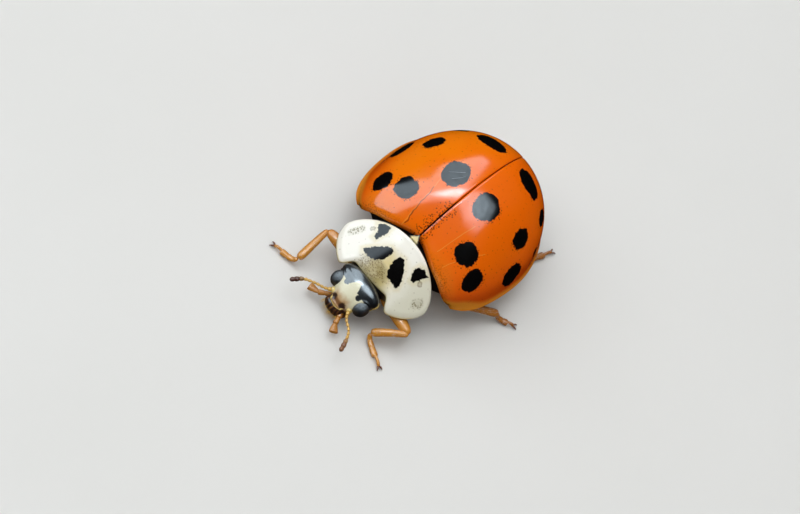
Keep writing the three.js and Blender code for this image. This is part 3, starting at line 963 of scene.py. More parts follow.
scutellum_sheet = lattice(24, 24, scutellum_row)
scutellum = skin("scutellum_plate", scutellum_sheet, scutellum_finish(), outward=(0, 0, 1))
place(walled(scutellum, SCUTELLUM_THICKNESS), "pronotum_shell", "scutellum")

# %% [markdown]
# ## The underside
#
# Below the shells lies one dark body: the chest that carries the legs, and the belly with its
# overlapping rings. It is a single skin, lofted along the animal through sections that are wider
# than they are high, with a groove behind each ring. The turned-under rims of the wing cases,
# the epipleura, close the gap between shell and body.

# %% A smooth curve through stops
def through(stops, position):
    """A smooth value through (position, value) stops, for a number or an array."""
    at = np.array([stop[0] for stop in stops], float)
    values = np.array([stop[1] for stop in stops], float)
    slopes = np.gradient(values, at)
    position = np.clip(position, at[0], at[-1])
    index = np.clip(np.searchsorted(at, position, side="right") - 1, 0, len(at) - 2)
    span = at[index + 1] - at[index]
    share = (position - at[index]) / span
    start = 2 * share ** 3 - 3 * share ** 2 + 1
    leave = (share ** 3 - 2 * share ** 2 + share) * span
    end = -2 * share ** 3 + 3 * share ** 2
    arrive = (share ** 3 - share ** 2) * span
    return (start * values[index] + leave * slopes[index]
            + end * values[index + 1] + arrive * slopes[index + 1])


# %% The body skin
BODY_START = -1.5
BODY_END = 5.05
BODY_HALF_WIDTH = [(-1.42, 0.45), (-1.1, 0.98), (-0.6, 1.22), (-0.18, 0.86), (0.15, 1.15),
                   (0.8, 2.12), (1.6, 2.38), (2.6, 2.34), (3.6, 1.95), (4.4, 1.36), (4.95, 0.75)]
BODY_TOP = [(-1.42, 0.2), (-1.1, 0.5), (-0.6, 0.72), (-0.18, 0.86), (0.15, 0.9), (0.8, 1.15),
            (1.6, 1.4), (2.6, 1.3), (3.6, 0.95), (4.4, 0.6), (4.95, 0.3)]
BODY_BOTTOM = [(-1.42, -0.25), (-1.1, -0.42), (-0.6, -0.46), (-0.18, -0.44), (0.8, -0.46),
               (2.1, -0.46), (3.6, -0.4), (4.4, -0.3), (4.95, -0.16)]
RING_GROOVES = [-0.2, 0.62, 2.14, 2.72, 3.2, 3.62, 4.0, 4.36]


def body_row(share):
    y = BODY_START + (BODY_END - BODY_START) * (1 - math.cos(math.pi * share)) / 2
    closing = super_curve(2 * share - 1, 9)
    half, top, bottom = (
        through(stops, y) * closing for stops in (BODY_HALF_WIDTH, BODY_TOP, BODY_BOTTOM)
    )
    groove = sum(math.exp(-((y - at) / 0.035) ** 2) for at in RING_GROOVES)

    def point(turn):
        across, rise = math.cos(2 * math.pi * turn), math.sin(2 * math.pi * turn)
        x = half * math.copysign(abs(across) ** 0.82, across) * (1 - 0.02 * groove)
        if rise > 0:
            return x, y, top * rise ** 0.9
        middle = 0.05 * math.exp(-(x / 0.12) ** 2) * smooth_step(2.3 - y, 0.0, 0.4)
        return x, y, bottom * abs(rise) ** 0.8 + (0.04 * groove + middle) * abs(rise)

    return point


def body_finish():
    finish = Finish("dark underside", Coat_Weight=0.35, Coat_Roughness=0.25)
    x, y = finish.x, finish.y
    cloud = finish.noise(0.4, 3.0)
    belly = y.ramp(2.1, 2.2)
    sides = (abs(x) + (cloud - 0.5) * 0.4 + y * 0.16).ramp(1.9, 2.25)
    finish.colour = finish.mix(cloud * 0.6, srgb(12, 9, 8), srgb(36, 22, 14))
    finish.paint(belly * sides, srgb(168, 88, 26))
    under_shield = y.ramp(-0.35, -0.6) * abs(x).ramp(0.55, 0.95)
    finish.paint(under_shield * 0.85, srgb(184, 160, 96))
    pits = finish.cells(0.07)
    relief = (pits - 0.25).inside(0.2) * -0.5 + finish.noise(0.05, 3.0) * 0.4
    finish.wear(Base_Color=finish.colour, Roughness=0.45, Normal=relief.bump(0.004))
    return finish


body_sheet = lattice(230, 96, body_row, around=True)
underside = skin("underside", body_sheet, body_finish(), around=True)
place(underside, "underside", "thorax", "abdomen", "prothorax")

# %% The turned-under rims of the wing cases
EPIPLEURON_FRONT = 0.5
EPIPLEURON_REAR = 0.12
EPIPLEURON_TAPER = 16 / 150  # over this share of the rows its front end comes to a point
RIM_THICKNESS = 0.06
RIM_STEP = 0.0001            # share of the length over which the outline's direction is taken


def rim_row_rule(side):
    def row_rule(row_share):
        t = math.sin(math.pi / 2 * (0.01 + 0.988 * row_share))
        half = case_half_width * outline(t)
        before = case_half_width * outline(t - RIM_STEP)
        along = Vector((half - before, case_length * RIM_STEP, 0)).normalized()
        inward = Vector((-along.y, along.x, 0))
        y = case_length * t + base_edge(1.0, t)
        width = EPIPLEURON_REAR + (EPIPLEURON_FRONT - EPIPLEURON_REAR) * (1 - t) ** 1.3
        ahead = 1 - min(row_share / EPIPLEURON_TAPER, 1.0)
        width *= 1 - 0.88 * ahead ** 2
        inset = 0.012 + 0.09 * ahead ** 2

        def point(share):
            spot = Vector((half, y, 0)) + inward * (inset + width * share)
            rise = -0.05 + 0.16 * share ** 1.5 - 0.04 * math.sin(math.pi * min(share * 3, 1.0))
            return spot.x * side, spot.y, rise

        return point

    return row_rule


rim_look = cloudy("turned-under rim", srgb(206, 112, 26), AMBER, grain=(0.04, 0.002),
                  Coat_Weight=0.8, Coat_Roughness=0.15)
for side_name, side in SIDES:
    rim_sheet = lattice(150, 14, rim_row_rule(side))
    rim = skin(f"wing_case_rim_{side_name}", rim_sheet, rim_look, outward=(0, 0, -1))
    place(walled(rim, RIM_THICKNESS), "wing_case")

# %% [markdown]
# ## The head
#
# The head hangs from under the neck shield, tipped forward and turned a little to its right. It
# gets its own millimetres: forward is minus y, its left is plus x. The skull is a loft from the
# front lip to the crown, narrow in front and broad across the eyes, with a rim along the lip, two
# pits behind it, a dent where each feeler starts and a raised ring round each eye.

# %% The head's own axes
HEAD_CENTRE = Vector((-0.06, -1.93, -0.2))
HEAD_PITCH = math.radians(33)
HEAD_YAW = math.radians(-7)
HEAD_HALF_LENGTH = 0.66
HEAD_HALF_WIDTH = 0.71
HEAD_HALF_HEIGHT = 0.42
HEAD_WIDTHS = [(0, 0.5), (0.2, 0.56), (0.42, 0.8), (0.6, 1.0), (0.8, 1.18), (1, 1.05)]
HEAD_HEIGHTS = [(0, 0.5), (0.2, 0.75), (0.45, 0.98), (0.65, 1.0), (1, 0.88)]
HEAD_DENTS = [(0.05, (0.42, -0.36, 0.02), 0.12), (0.045, (0.17, -0.41, 0.22), 0.075)]
EYE_SIZE = (0.245, 0.265, 0.26)
EYE_PLACE = (0.54, -0.03, 0.09)
head_turn = Matrix.Rotation(HEAD_YAW, 3, "Z") @ Matrix.Rotation(HEAD_PITCH, 3, "X")


def from_head(point):
    """A point in the head's own millimetres, in the beetle's."""
    return HEAD_CENTRE + head_turn @ Vector(point)


# %% The skull
def bulge(point, centre, size):
    """1 at the centre of a round swelling, fading to 0 beyond its size."""
    gap = (Vector(point) - Vector(centre)).length / size
    return math.exp(-gap * gap)


def head_row(share):
    along = -math.cos(math.pi * share)
    place_along = (along + 1) / 2
    closing = super_curve(along, 4)
    half_width = HEAD_HALF_WIDTH * through(HEAD_WIDTHS, place_along) * closing
    half_height = HEAD_HALF_HEIGHT * through(HEAD_HEIGHTS, place_along) * closing

    def point(turn):
        across, rise = math.cos(2 * math.pi * turn), math.sin(2 * math.pi * turn)
        spot = Vector((half_width * across, along * HEAD_HALF_LENGTH, half_height * rise))
        lift = 0.0
        for side in (-1, 1):
            for depth, (x, y, z), size in HEAD_DENTS:
                lift -= depth * bulge(spot, (side * x, y, z), size)
            eye = Vector(EYE_PLACE) * Vector((side, 1, 1))
            eye_gap = Vector([(spot[axis] - eye[axis]) / EYE_SIZE[axis] for axis in range(3)]).length
            lift += 0.03 * math.exp(-((eye_gap - 1.08) / 0.16) ** 2)
        if rise > 0:
            lift += 0.022 * math.exp(-((spot.y + 0.56) / 0.03) ** 2) * rise
            lift -= 0.012 * math.exp(-((spot.y + 0.49) / 0.04) ** 2) * rise
            lift -= 0.025 * math.exp(-(spot.x / 0.3) ** 2 - ((spot.y + 0.02) / 0.25) ** 2)
        return from_head(spot + Vector((across, 0, rise)) * lift)

    return point


# %% A finish in the head's own millimetres
class HeadFinish(Finish):
    """A finish whose x, y and z are the head's own."""

    def __init__(self, name, **constants):
        super().__init__(name, **constants)
        sockets = {
            "Vector": self.where,
            "Location": tuple(HEAD_CENTRE),
            "Rotation": (HEAD_PITCH, 0.0, HEAD_YAW),
        }
        self.where = self.node("ShaderNodeMapping", {"vector_type": "TEXTURE"}, sockets)
        self.x, self.y, self.z = self.where.parts()


FACE_CREAM = srgb(222, 217, 186)
FACE_BROWN = srgb(172, 118, 42)
RIM_YELLOW = srgb(232, 204, 120)
HEAD_BLACK = srgb(14, 14, 16)


# %% Face, crown and cheeks
def head_finish():
    finish = HeadFinish("head", Coat_Roughness=0.15, Coat_IOR=1.9)
    cloud = finish.noise(0.22, 3.0)
    fine = finish.noise(0.05, 2.0)
    x, y, z = finish.x, finish.y, finish.z

    # cream face, browner towards the lip
    front = (y + (cloud - 0.5) * 0.3).ramp(-0.12, -0.4)
    side_fade = abs(x).ramp(0.42, 0.18)
    finish.colour = finish.mix(front * side_fade * 0.85, FACE_CREAM, FACE_BROWN)
    specks = (finish.cells(0.07) - 0.2).inside(0.15) * cloud.ramp(0.45, 0.7)
    finish.paint(specks * 0.4, FACE_BROWN)
    band = (abs(y + 0.47) + (cloud - 0.5) * 0.06).ramp(0.1, 0.04)
    finish.paint(band * 0.75, srgb(112, 62, 18))
    for side in (-1, 1):
        hollow = finish.ball((side * 0.18, -0.42, 0.2), 0.1, (1, 0.8, 1))
        pit = (hollow + (fine - 0.5) * 0.08).inside(0.03)
        finish.paint(pit * 0.95, srgb(40, 16, 6))
        socket = finish.ball((side * 0.42, -0.37, 0.0), 0.1).inside(0.04)
        finish.paint(socket * 0.6, FACE_BROWN)
    front_slope = y.ramp(-0.44, -0.5)
    finish.paint(front_slope * z.ramp(0.19, 0.15), srgb(58, 26, 10))
    lip = (abs(z - 0.165 + (fine - 0.5) * 0.02) - 0.013).inside(0.01)
    finish.paint(lip * front_slope * 0.95, RIM_YELLOW)
    below = z.ramp(0.02, -0.08)
    finish.paint(below * 0.9, srgb(58, 34, 16))
    finish.paint(below * y.ramp(-0.1, 0.0), HEAD_BLACK)

    # the black crown, with a cream peak between its two forward lobes
    peak = (1 - ((x + 0.01) / 0.18) ** 2.0).most(0.0)
    lobe = finish.ball((-0.28, 0.1, 0.33), 0.1).least(finish.ball((0.3, 0.09, 0.33), 0.1))
    border = (0.12 + peak * 0.26 - y).least(lobe) + (fine - 0.5) * 0.05 + (cloud - 0.5) * 0.05
    crown = border.inside(0.012)
    finish.paint(crown, HEAD_BLACK)
    temple = abs(x).ramp(0.56, 0.6) * y.ramp(0.0, 0.06)
    finish.paint(temple, HEAD_BLACK)
    streak = abs(z + 0.02 - y * 0.2 + (cloud - 0.5) * 0.12) / 0.055
    length = abs(y - 0.27 + (fine - 0.5) * 0.1) / 0.2
    cheek = (streak * streak + length * length - 1).inside(0.3) * abs(x).ramp(0.45, 0.5)
    finish.paint(cheek * 0.9, RIM_YELLOW)

    pits = finish.cells(0.05)
    relief = (pits - 0.25).inside(0.2) * -0.4 + fine * 0.35
    finish.wear(
        Base_Color=finish.colour,
        Roughness=0.42,
        Coat_Weight=0.2 + crown.most(temple) * 0.8,
        Normal=relief.bump(0.0035),
    )
    return finish


head = skin("head_skin", lattice(120, 120, head_row, around=True), head_finish(), around=True)
place(head, "head_shell", "head")

# %% [markdown]
# ### Faceted eyes
#
# A compound eye is a dome of hundreds of lenses. An icosphere's dual is made of hexagons with a
# few pentagons, just like it. Each face is raised a little and its top shrunk, so the facets are
# real geometry. The same rule makes both eyes.

# %% The eye rule
def eye_rule():
    rule = Rule("faceted eye")
    centre, size, turn = rule.ask("Centre", "Size", "Turn", kind="Vector")
    fineness = rule.ask("Fineness", kind="Int")
    raised = rule.ask("Raised")
    material = rule.ask("Material", kind="Material")
    ball = rule.node("GeometryNodeMeshIcoSphere", sockets={"Radius": 1.0, "Subdivisions": fineness})
    lenses = rule.node("GeometryNodeDualMesh", sockets={0: ball})
    lifted = rule.node(
        "GeometryNodeExtrudeMesh", {"mode": "FACES"},
        {"Mesh": lenses, "Offset Scale": raised, "Individual": True},
    )
    capped = rule.node(
        "GeometryNodeScaleElements", {"domain": "FACE"},
        {0: lifted, "Selection": lifted.also("Top"), "Scale": 0.72},
    )
    placed = rule.node(
        "GeometryNodeTransform", sockets={0: capped, "Translation": centre, "Scale": size, "Rotation": turn}
    )
    rule.end(placed, material)
    return rule


eyes = eye_rule()
eye_look = cloudy("eye", srgb(8, 9, 10), srgb(38, 42, 46), lump=(0.12, 2.0),
                  Coat_Weight=1.0, Coat_Roughness=0.2, Coat_IOR=1.8)
eye_look.wear(Roughness=0.34 + eye_look.noise(0.12, 2.0) * 0.1)
for side_name, side in SIDES:
    eye_at = from_head((side * EYE_PLACE[0], EYE_PLACE[1], EYE_PLACE[2]))
    eye = eyes.run(
        f"eye_{side_name}_lenses",
        centre=tuple(to_frame(eye_at)), size=[half * MM for half in EYE_SIZE],
        turn=(HEAD_PITCH, 0.0, HEAD_YAW), fineness=5, raised=0.018, material=eye_look.material,
    )
    tidy_mesh(eye.data)
    place(eye, "eye", f"eye_{side_name}")

# %% [markdown]
# ## Limbs as swept rules
#
# Legs, feelers and palps are chains of rounded joints that follow a path. One rule sweeps a
# round profile along a curve: its radius passes through a start, a middle and an end value and
# closes at both ends. It also keeps two numbers on every point, how far along and how far
# round it is, which later give each bristle its place on an unwrap of the limb.

# %% The limb rule
def limb_rule():
    rule = Rule("limb")
    start, middle, end = rule.ask("Start", "Middle", "End")
    roundness, flatness = rule.ask("Roundness", "Flatness")
    steps, sides = rule.ask("Steps", "Sides", kind="Int")
    material = rule.ask("Material", kind="Material")
    path = rule.node("GeometryNodeResampleCurve", sockets={"Curve": rule.geometry(), "Count": steps})
    share = rule.node("GeometryNodeSplineParameter")
    path = rule.keep(path, "along", share)
    ring = rule.node("GeometryNodeCurvePrimitiveCircle", sockets={"Resolution": sides, "Radius": 1.0})
    ring = rule.keep(ring, "round", share)
    ring = rule.node("GeometryNodeTransform", sockets={0: ring, "Scale": rule.point(1.0, flatness, 1.0)})
    rest = 1 - share
    radius = start * rest * rest + middle * share * rest * 2 + end * share * share
    closing = (1 - abs(share * 2 - 1) ** roundness).most(0.0).root()
    swept = rule.node(
        "GeometryNodeCurveToMesh",
        sockets={"Curve": path, "Profile Curve": ring, "Scale": radius * closing * MM},
    )
    rule.end(swept, material)
    return rule


limbs = limb_rule()


# %% One limb, and several as one
def curve_through(name, points):
    """A smooth curve through points in beetle millimetres."""
    data = bpy.data.curves.new(name, "CURVE")
    data.dimensions = "3D"
    data.resolution_u = 16
    spline = data.splines.new("BEZIER")
    spline.bezier_points.add(len(points) - 1)
    for knot, point in zip(spline.bezier_points, points):
        knot.co = to_frame(point)
        knot.handle_left_type = "AUTO"
        knot.handle_right_type = "AUTO"
    return data


def limb(name, points, radii, look, flatness=1.0, roundness=10.0, steps=36, sides=24):
    """One joint of a limb. radii are at its start, in its middle and at its end, in mm."""
    piece = limbs.run(
        name, curve_through(name, points),
        start=radii[0], middle=2 * radii[1] - (radii[0] + radii[2]) / 2, end=radii[2],
        flatness=flatness, roundness=roundness, steps=steps, sides=sides, material=look.material,
    )
    tidy_mesh(piece.data)
    return piece


def joined(name, pieces):
    """Several pieces of one finish as one."""
    form = bmesh.new()
    for piece in pieces:
        form.from_mesh(piece.data)
    mesh = bpy.data.meshes.new(name)
    mesh.materials.append(pieces[0].data.materials[0])
    form.to_mesh(mesh)
    form.free()
    mesh.shade_smooth()
    for piece in pieces:
        bpy.data.objects.remove(piece)
    return link(bpy.data.objects.new(name, mesh))


# %% [markdown]
# ## Bristles
#
# Short golden hairs stand on the legs and feelers and hang as a fringe from the upper lip. The
# rule scatters points over a piece with a fixed seed, sets a thin three-sided cone on each,
# leans it, and gives each cone its own small patch of the unwrap.

# %% The bristle rule
PATCH = 0.003       # how wide a bristle's patch of the unwrap is


def bristle_rule():
    rule = Rule("bristles")
    count, length, thickness = rule.ask("Per Square Mm", "Length", "Thickness")
    upright, below = rule.ask("Upright", "Only Below")
    lean = rule.ask("Lean", kind="Vector")
    seed = rule.ask("Seed", kind="Int")
    material = rule.ask("Material", kind="Material")
    position = rule.node("GeometryNodeInputPosition")
    allowed = rule.node(
        "FunctionNodeCompare", {"data_type": "FLOAT", "operation": "LESS_THAN"},
        {0: position.parts()[2], 1: below},
    )
    scattered = rule.node(
        "GeometryNodeDistributePointsOnFaces", sockets={
            "Mesh": rule.geometry(), "Selection": allowed, "Density": count * (1 / MM ** 2),
            "Seed": seed},
    )
    jitter = rule.node(
        "FunctionNodeRandomValue", {"data_type": "FLOAT_VECTOR"},
        {"Min": (-0.25, -0.25, -0.25), "Max": (0.25, 0.25, 0.25), "Seed": seed},
    )
    stand = rule.scaled(scattered.also("Normal"), upright)
    toward = rule.vector("ADD", rule.vector("ADD", stand, lean), jitter)
    turn = rule.node("FunctionNodeAlignRotationToVector", {"axis": "Z"}, {"Vector": toward})
    stretch = rule.node(
        "FunctionNodeRandomValue", {"data_type": "FLOAT"}, {2: 0.6, 3: 1.15, "Seed": seed + 7}, gives=1
    )
    cone = rule.node("GeometryNodeMeshCone", sockets={
        "Vertices": 3, "Radius Top": 0.0, "Radius Bottom": thickness * MM, "Depth": length * MM})
    scattered = rule.keep(scattered, "root", position, data_type="FLOAT_VECTOR")
    hairs = rule.node("GeometryNodeInstanceOnPoints", sockets={
        "Points": scattered, "Instance": cone, "Rotation": turn, "Scale": rule.point(1.0, 1.0, stretch)})
    real = rule.node("GeometryNodeRealizeInstances", sockets={0: hairs})
    reach = rule.vector("SUBTRACT", position, rule.kept("root", "FLOAT_VECTOR"))
    off_x, off_y, _ = reach.parts()
    per_patch = PATCH / MM / 0.2
    u = rule.kept("along") * 0.98 + off_x * per_patch
    v = rule.kept("round") * 0.98 + off_y * per_patch
    unwrap = rule.point(u, v, 0.0)
    rule.end(rule.keep(real, "OFBake", unwrap, data_type="FLOAT2", domain="CORNER"), material)
    return rule


bristles = bristle_rule()
print("nodes in the bristle rule:", len(bristles.tree.nodes))


# %% Coats of bristles
def bristle_finish(name, dark, light):
    return cloudy(name, dark, light, lump=(0.3, 1.0), Specular_IOR_Level=0.4)


gold_hair = bristle_finish("golden bristles", srgb(150, 98, 34), srgb(214, 168, 84))


def bristle_coat(name, piece, look, count, length, lean, upright=0.6, below=10.0, seed=1, thickness=0.005):
    """Bristles on a copy of a piece's skin, as a piece of their own."""
    return bristles.run(
        name, piece.data.copy(), per_square_mm=count, length=length, thickness=thickness,
        lean=tuple(lean), upright=upright, only_below=below * MM, seed=seed, material=look.material,
    )


# %% [markdown]
# ## The mouth
#
# Under the lip's yellow rim sits the upper lip, the labrum, glossy and dark red-brown with a
# fringe of golden hairs. Behind it lie the jaws and the under lip. From its sides come the
# palps, whose last joint is shaped like a small hatchet.

# %% The upper lip, jaws and under lip
def ellipsoid_rule(centre, sizes, squareness=2.3):
    """A rounded form in the head's own millimetres, from its right to its left."""
    def row_rule(share):
        across = -math.cos(math.pi * share)
        closing = super_curve(across, squareness)

        def point(turn):
            deep, high = math.cos(2 * math.pi * turn), math.sin(2 * math.pi * turn)
            offset = Vector((across * sizes[0], closing * sizes[1] * deep, closing * sizes[2] * high))
            return from_head(Vector(centre) + offset)

        return point

    return row_rule


def mouth_finish():
    finish = HeadFinish("mouth", Coat_Weight=1.0, Coat_Roughness=0.1)
    x, y, z = finish.x, finish.y, finish.z
    cloud = finish.noise(0.12, 3.0)
    ribs = finish.noise(0.045, 2.0, where=finish.point(x, y * 0.2, z * 0.2))
    finish.colour = finish.mix(cloud, srgb(16, 7, 7), srgb(58, 26, 14))
    finish.paint(ribs.ramp(0.52, 0.68) * 0.7, srgb(150, 98, 40))
    edge = (z + (cloud - 0.5) * 0.1).ramp(-0.12, -0.3)
    finish.paint(edge * 0.6, srgb(150, 92, 34))
    finish.wear(Base_Color=finish.colour, Roughness=0.35, Normal=ribs.bump(0.012))
    return finish


def mouth_part(name, centre, sizes):
    sheet = lattice(48, 48, ellipsoid_rule(centre, sizes), around=True)
    return skin(name, sheet, mouth_look, around=True)


JAW_ROUTE = [(0.3, -0.4, -0.22), (0.3, -0.62, -0.3), (0.1, -0.74, -0.34), (-0.03, -0.72, -0.35)]
mouth_look = mouth_finish()
labrum = mouth_part("upper_lip", (-0.01, -0.59, -0.1), (0.36, 0.23, 0.25))
place(labrum, "mouthparts", "mouthparts")
place(mouth_part("under_lip", (0, -0.33, -0.34), (0.3, 0.24, 0.15)), "mouthparts")
for side_name, side in SIDES:
    jaw_points = [from_head((side * x, y, z)) for x, y, z in JAW_ROUTE]
    jaw = limb(f"jaw_{side_name}", jaw_points, (0.1, 0.07, 0.03), mouth_look, flatness=0.7)
    place(jaw, "mouthparts")

# %% The fringe of the upper lip
fringe_lean = head_turn @ Vector((0, -1.0, 0.05))
fringe_hair = bristle_finish("lip fringe", srgb(196, 146, 52), srgb(238, 208, 124))
fringe = bristle_coat("lip_fringe", labrum, fringe_hair, 230, 0.2, fringe_lean, upright=0.3,
                      below=(origin.z / MM) - 0.62, seed=3, thickness=0.006)
place(fringe, "mouthparts")

# %% [markdown]
# ## The feelers
#
# Each antenna has eleven beads: a stout first joint, a small second, six little beads like a
# string of pearls, and a flattened club of three. Beads that repeat along a path are a task for
# Geometry Nodes: the curve is cut into equal steps, a bead is set on each, and its size comes
# from its number.

# %% The feeler rule
FEELER_ROUTES = {
    "right": [(-0.47, -2.24, -0.3), (-0.64, -2.44, -0.26), (-0.95, -2.61, -0.25),
              (-1.25, -2.79, -0.3), (-1.43, -3.03, -0.36)],
    "left": [(0.28, -2.3, -0.3), (0.42, -2.58, -0.27), (0.77, -2.84, -0.28),
             (0.97, -3.18, -0.33), (1.04, -3.36, -0.37)],
}
FEELER_BEADS = 11


def feeler_rule():
    rule = Rule("feeler")
    count = rule.ask("Beads", kind="Int")
    bead_radius, club_radius, base_radius = rule.ask("Bead Radius", "Club Radius", "Base Radius")
    bead_length = rule.ask("Bead Length")
    material = rule.ask("Material", kind="Material")
    path = rule.node("GeometryNodeResampleCurve", sockets={"Curve": rule.geometry(), "Count": count})
    share = rule.node("GeometryNodeSplineParameter")
    path = rule.keep(path, "along", share)
    tangent = rule.node("GeometryNodeInputTangent")
    turn = rule.node("FunctionNodeAlignRotationToVector", {"axis": "Z"}, {"Vector": tangent})
    club = share.ramp(0.66, 0.88) * (1 - share.ramp(0.94, 1.06) * 0.5)
    base = share.ramp(0.16, 0.0)
    radius = bead_radius + (club_radius - bead_radius) * club + (base_radius - bead_radius) * base
    longer = bead_length * (1 + club * 0.35 + base * 0.4)
    scale = rule.point(radius * MM, radius * MM, longer * MM)
    ball = rule.node("GeometryNodeMeshUVSphere", sockets={"Segments": 20, "Rings": 14, "Radius": 1.0})
    x, y, z = rule.node("GeometryNodeInputPosition").parts()
    cup = 0.86 + (z + 0.25).most(-0.6).least(0.6) * 0.24
    bead = rule.moved(rule.keep(ball, "bead", z), rule.point(x * cup, y * cup, z))
    chain = rule.node("GeometryNodeInstanceOnPoints", sockets={
        "Points": path, "Instance": bead, "Rotation": turn, "Scale": scale})
    rule.end(chain, material)
    return rule


# %% Both feelers
def feeler_finish(name, club_light_and_shade):
    finish = Finish(name, Coat_Weight=0.5, Coat_Roughness=0.2)
    along = finish.attribute("along")
    cloud = finish.noise(0.06, 2.0)
    finish.colour = finish.mix(cloud, srgb(196, 142, 40), srgb(228, 184, 88))
    finish.paint(along.ramp(0.15, 0.0), srgb(226, 200, 120))
    # the club's tone, with painted light and shade for its side
    finish.paint(along.ramp(0.68, 0.86), club_light_and_shade)
    finish.paint(finish.attribute("bead").ramp(0.62, 0.9) * 0.7, srgb(88, 50, 16))
    finish.wear(Base_Color=finish.colour, Roughness=0.45, Normal=finish.noise(0.02).bump(0.003))
    return finish


feelers = feeler_rule()
# painted light and shade: the left club is painted lighter and the right club darker, so the feelers are
# lit and shaded copies of one finish
CLUB_LIGHT_AND_SHADE = {"right": srgb(74, 34, 16), "left": srgb(124, 74, 34)}
for side_name, side in SIDES:
    look = feeler_finish(f"feeler {side_name}", CLUB_LIGHT_AND_SHADE[side_name])
    route = FEELER_ROUTES[side_name]
    feeler = feelers.run(
        f"feeler_{side_name}", curve_through("feeler", route),
        beads=FEELER_BEADS, bead_radius=0.047, club_radius=0.08, base_radius=0.095,
        bead_length=0.082, material=look.material,
    )
    feeler.data.shade_smooth()
    place(feeler, "antenna", f"antenna_{side_name}")
    lean = Vector(route[-1]) - Vector(route[0])
    hairs = bristle_coat(f"feeler_hairs_{side_name}", feeler, gold_hair, 220, 0.05, lean.normalized(),
                         seed=11, thickness=0.003)
    place(hairs, "antenna")

# %% The palps
PALP_ROUTES = {
    "right": [(-0.4, -2.2, -0.55), (-0.75, -2.45, -0.66), (-1.06, -2.5, -0.7)],
    "left": [(0.15, -2.35, -0.55), (0.3, -2.75, -0.66), (0.47, -2.98, -0.7)],
}


def between(start, end, share):
    return Vector(start).lerp(Vector(end), share)


palp_look = cloudy("palp", srgb(160, 94, 20), srgb(200, 140, 50), lump=(0.1, 2.0),
                   grain=(0.03, 0.004), roughness=0.42, Coat_Weight=0.6, Coat_Roughness=0.2)
for side_name, (root, elbow, tip) in PALP_ROUTES.items():
    joints = [
        limb("palp_base", [root, between(root, elbow, 0.55)], (0.06, 0.075, 0.07), palp_look),
        limb("palp_middle", [between(root, elbow, 0.5), elbow], (0.06, 0.08, 0.085), palp_look),
        limb("palp_hatchet", [between(root, elbow, 0.94), between(elbow, tip, 0.5), tip],
             (0.06, 0.11, 0.15), palp_look, flatness=0.6, roundness=14.0),
    ]
    palp = joined(f"palp_{side_name}_joints", joints)
    place(palp, "antenna", f"palp_{side_name}")

# %% [markdown]
# ## The legs
#
# A beetle's leg is a hip, a stout thigh, a slimmer shin that widens to its foot, and a foot of
# broad padded joints with a slim last one that carries two hooked claws. The claws stay pieces
# of their own. The feet stand on the ground, and the thighs fold close under the body.

# %% The legs' finish
def leg_finish():
    finish = Finish("amber leg", Coat_Weight=0.7, Coat_Roughness=0.16)
    cloud = finish.noise(0.3, 3.0)
    fine = finish.noise(0.05, 2.0)
    finish.colour = finish.mix(cloud, srgb(182, 104, 14), srgb(210, 140, 36))
    pale = (finish.y + (cloud - 0.5) * 0.5).ramp(-0.4, -1.6)
    finish.paint(pale * 0.4, srgb(212, 152, 50))
    dark = finish.y.ramp(0.5, 2.0) * 0.45
    finish.paint(dark, srgb(118, 62, 22))
    finish.wear(
        Base_Color=finish.colour,
        Roughness=0.4 + (fine - 0.5) * 0.15,
        Normal=finish.noise(0.035, 2.0).bump(0.005),
    )
    return finish


leg_look = leg_finish()
claw_look = cloudy("claw", srgb(70, 30, 10), srgb(130, 66, 22), lump=(0.06, 2.0),
                   roughness=0.35, Coat_Weight=0.8, Coat_Roughness=0.12)

# %% Each leg by its joints
# hip, knee, ankle and toe, in beetle millimetres
LEGS = {
    "front_right": [(-0.35, -0.95, -0.45), (-1.97, -0.97, -0.3), (-1.87, -2.22, -0.62),
                    (-2.7, -2.36, -0.82)],
    "front_left": [(0.35, -0.95, -0.45), (1.9, -1.3, -0.3), (1.13, -2.03, -0.62),
                   (2.1, -2.46, -0.82)],
    "middle_right": [(-0.5, 0.65, -0.45), (-2.05, 0.95, -0.42), (-2.3, 2.05, -0.62),
                     (-2.6, 2.85, -0.82)],
    "middle_left": [(0.5, 0.65, -0.45), (2.2, 0.95, -0.42), (2.95, 1.85, -0.62),
                    (3.5, 2.2, -0.82)],
    "hind_right": [(-0.5, 1.8, -0.45), (-1.8, 2.8, -0.45), (-2.0, 4.05, -0.62),
                   (-2.2, 4.9, -0.82)],
    "hind_left": [(0.5, 1.8, -0.45), (1.9, 2.85, -0.45), (2.2, 4.15, -0.62),
                  (2.43, 5.1, -0.82)],
}
THIGH_RADII = (0.13, 0.2, 0.14)
SHIN_RADII = (0.09, 0.115, 0.13)
PAD_RADIUS = 0.1
PAD_LINE = PAD_RADIUS * 0.8 + 0.012   # height of a pad's middle above the ground
CLAW_LINE = 0.07


def shifted(point, rise):
    return Vector(point) + Vector((0, 0, rise))


def over_ground(ankle, toe, share, height):
    return Vector((*between(ankle, toe, share).xy, ground + height))


# %% A foot and its claws
def foot_joints(ankle, toe):
    """Three joints of a foot: two broad pads on the ground, and the slim one with the claws."""
    heel = over_ground(ankle, toe, 0.1, PAD_LINE + 0.08)
    sole = over_ground(ankle, toe, 0.36, PAD_LINE)
    ball = over_ground(ankle, toe, 0.64, PAD_LINE - 0.01)
    instep = over_ground(ankle, toe, 0.78, 0.13)
    tip = over_ground(ankle, toe, 0.93, CLAW_LINE)
    return [
        limb("pad", [between(ankle, heel, 0.2), heel, sole], (0.07, 0.085, PAD_RADIUS), leg_look,
             flatness=0.8),
        limb("pad", [between(heel, sole, 0.75), between(sole, ball, 0.5), ball],
             (0.07, 0.1, PAD_RADIUS), leg_look, flatness=0.8),
        limb("last", [between(sole, ball, 0.5), instep, tip], (0.045, 0.045, 0.05), leg_look),
    ]


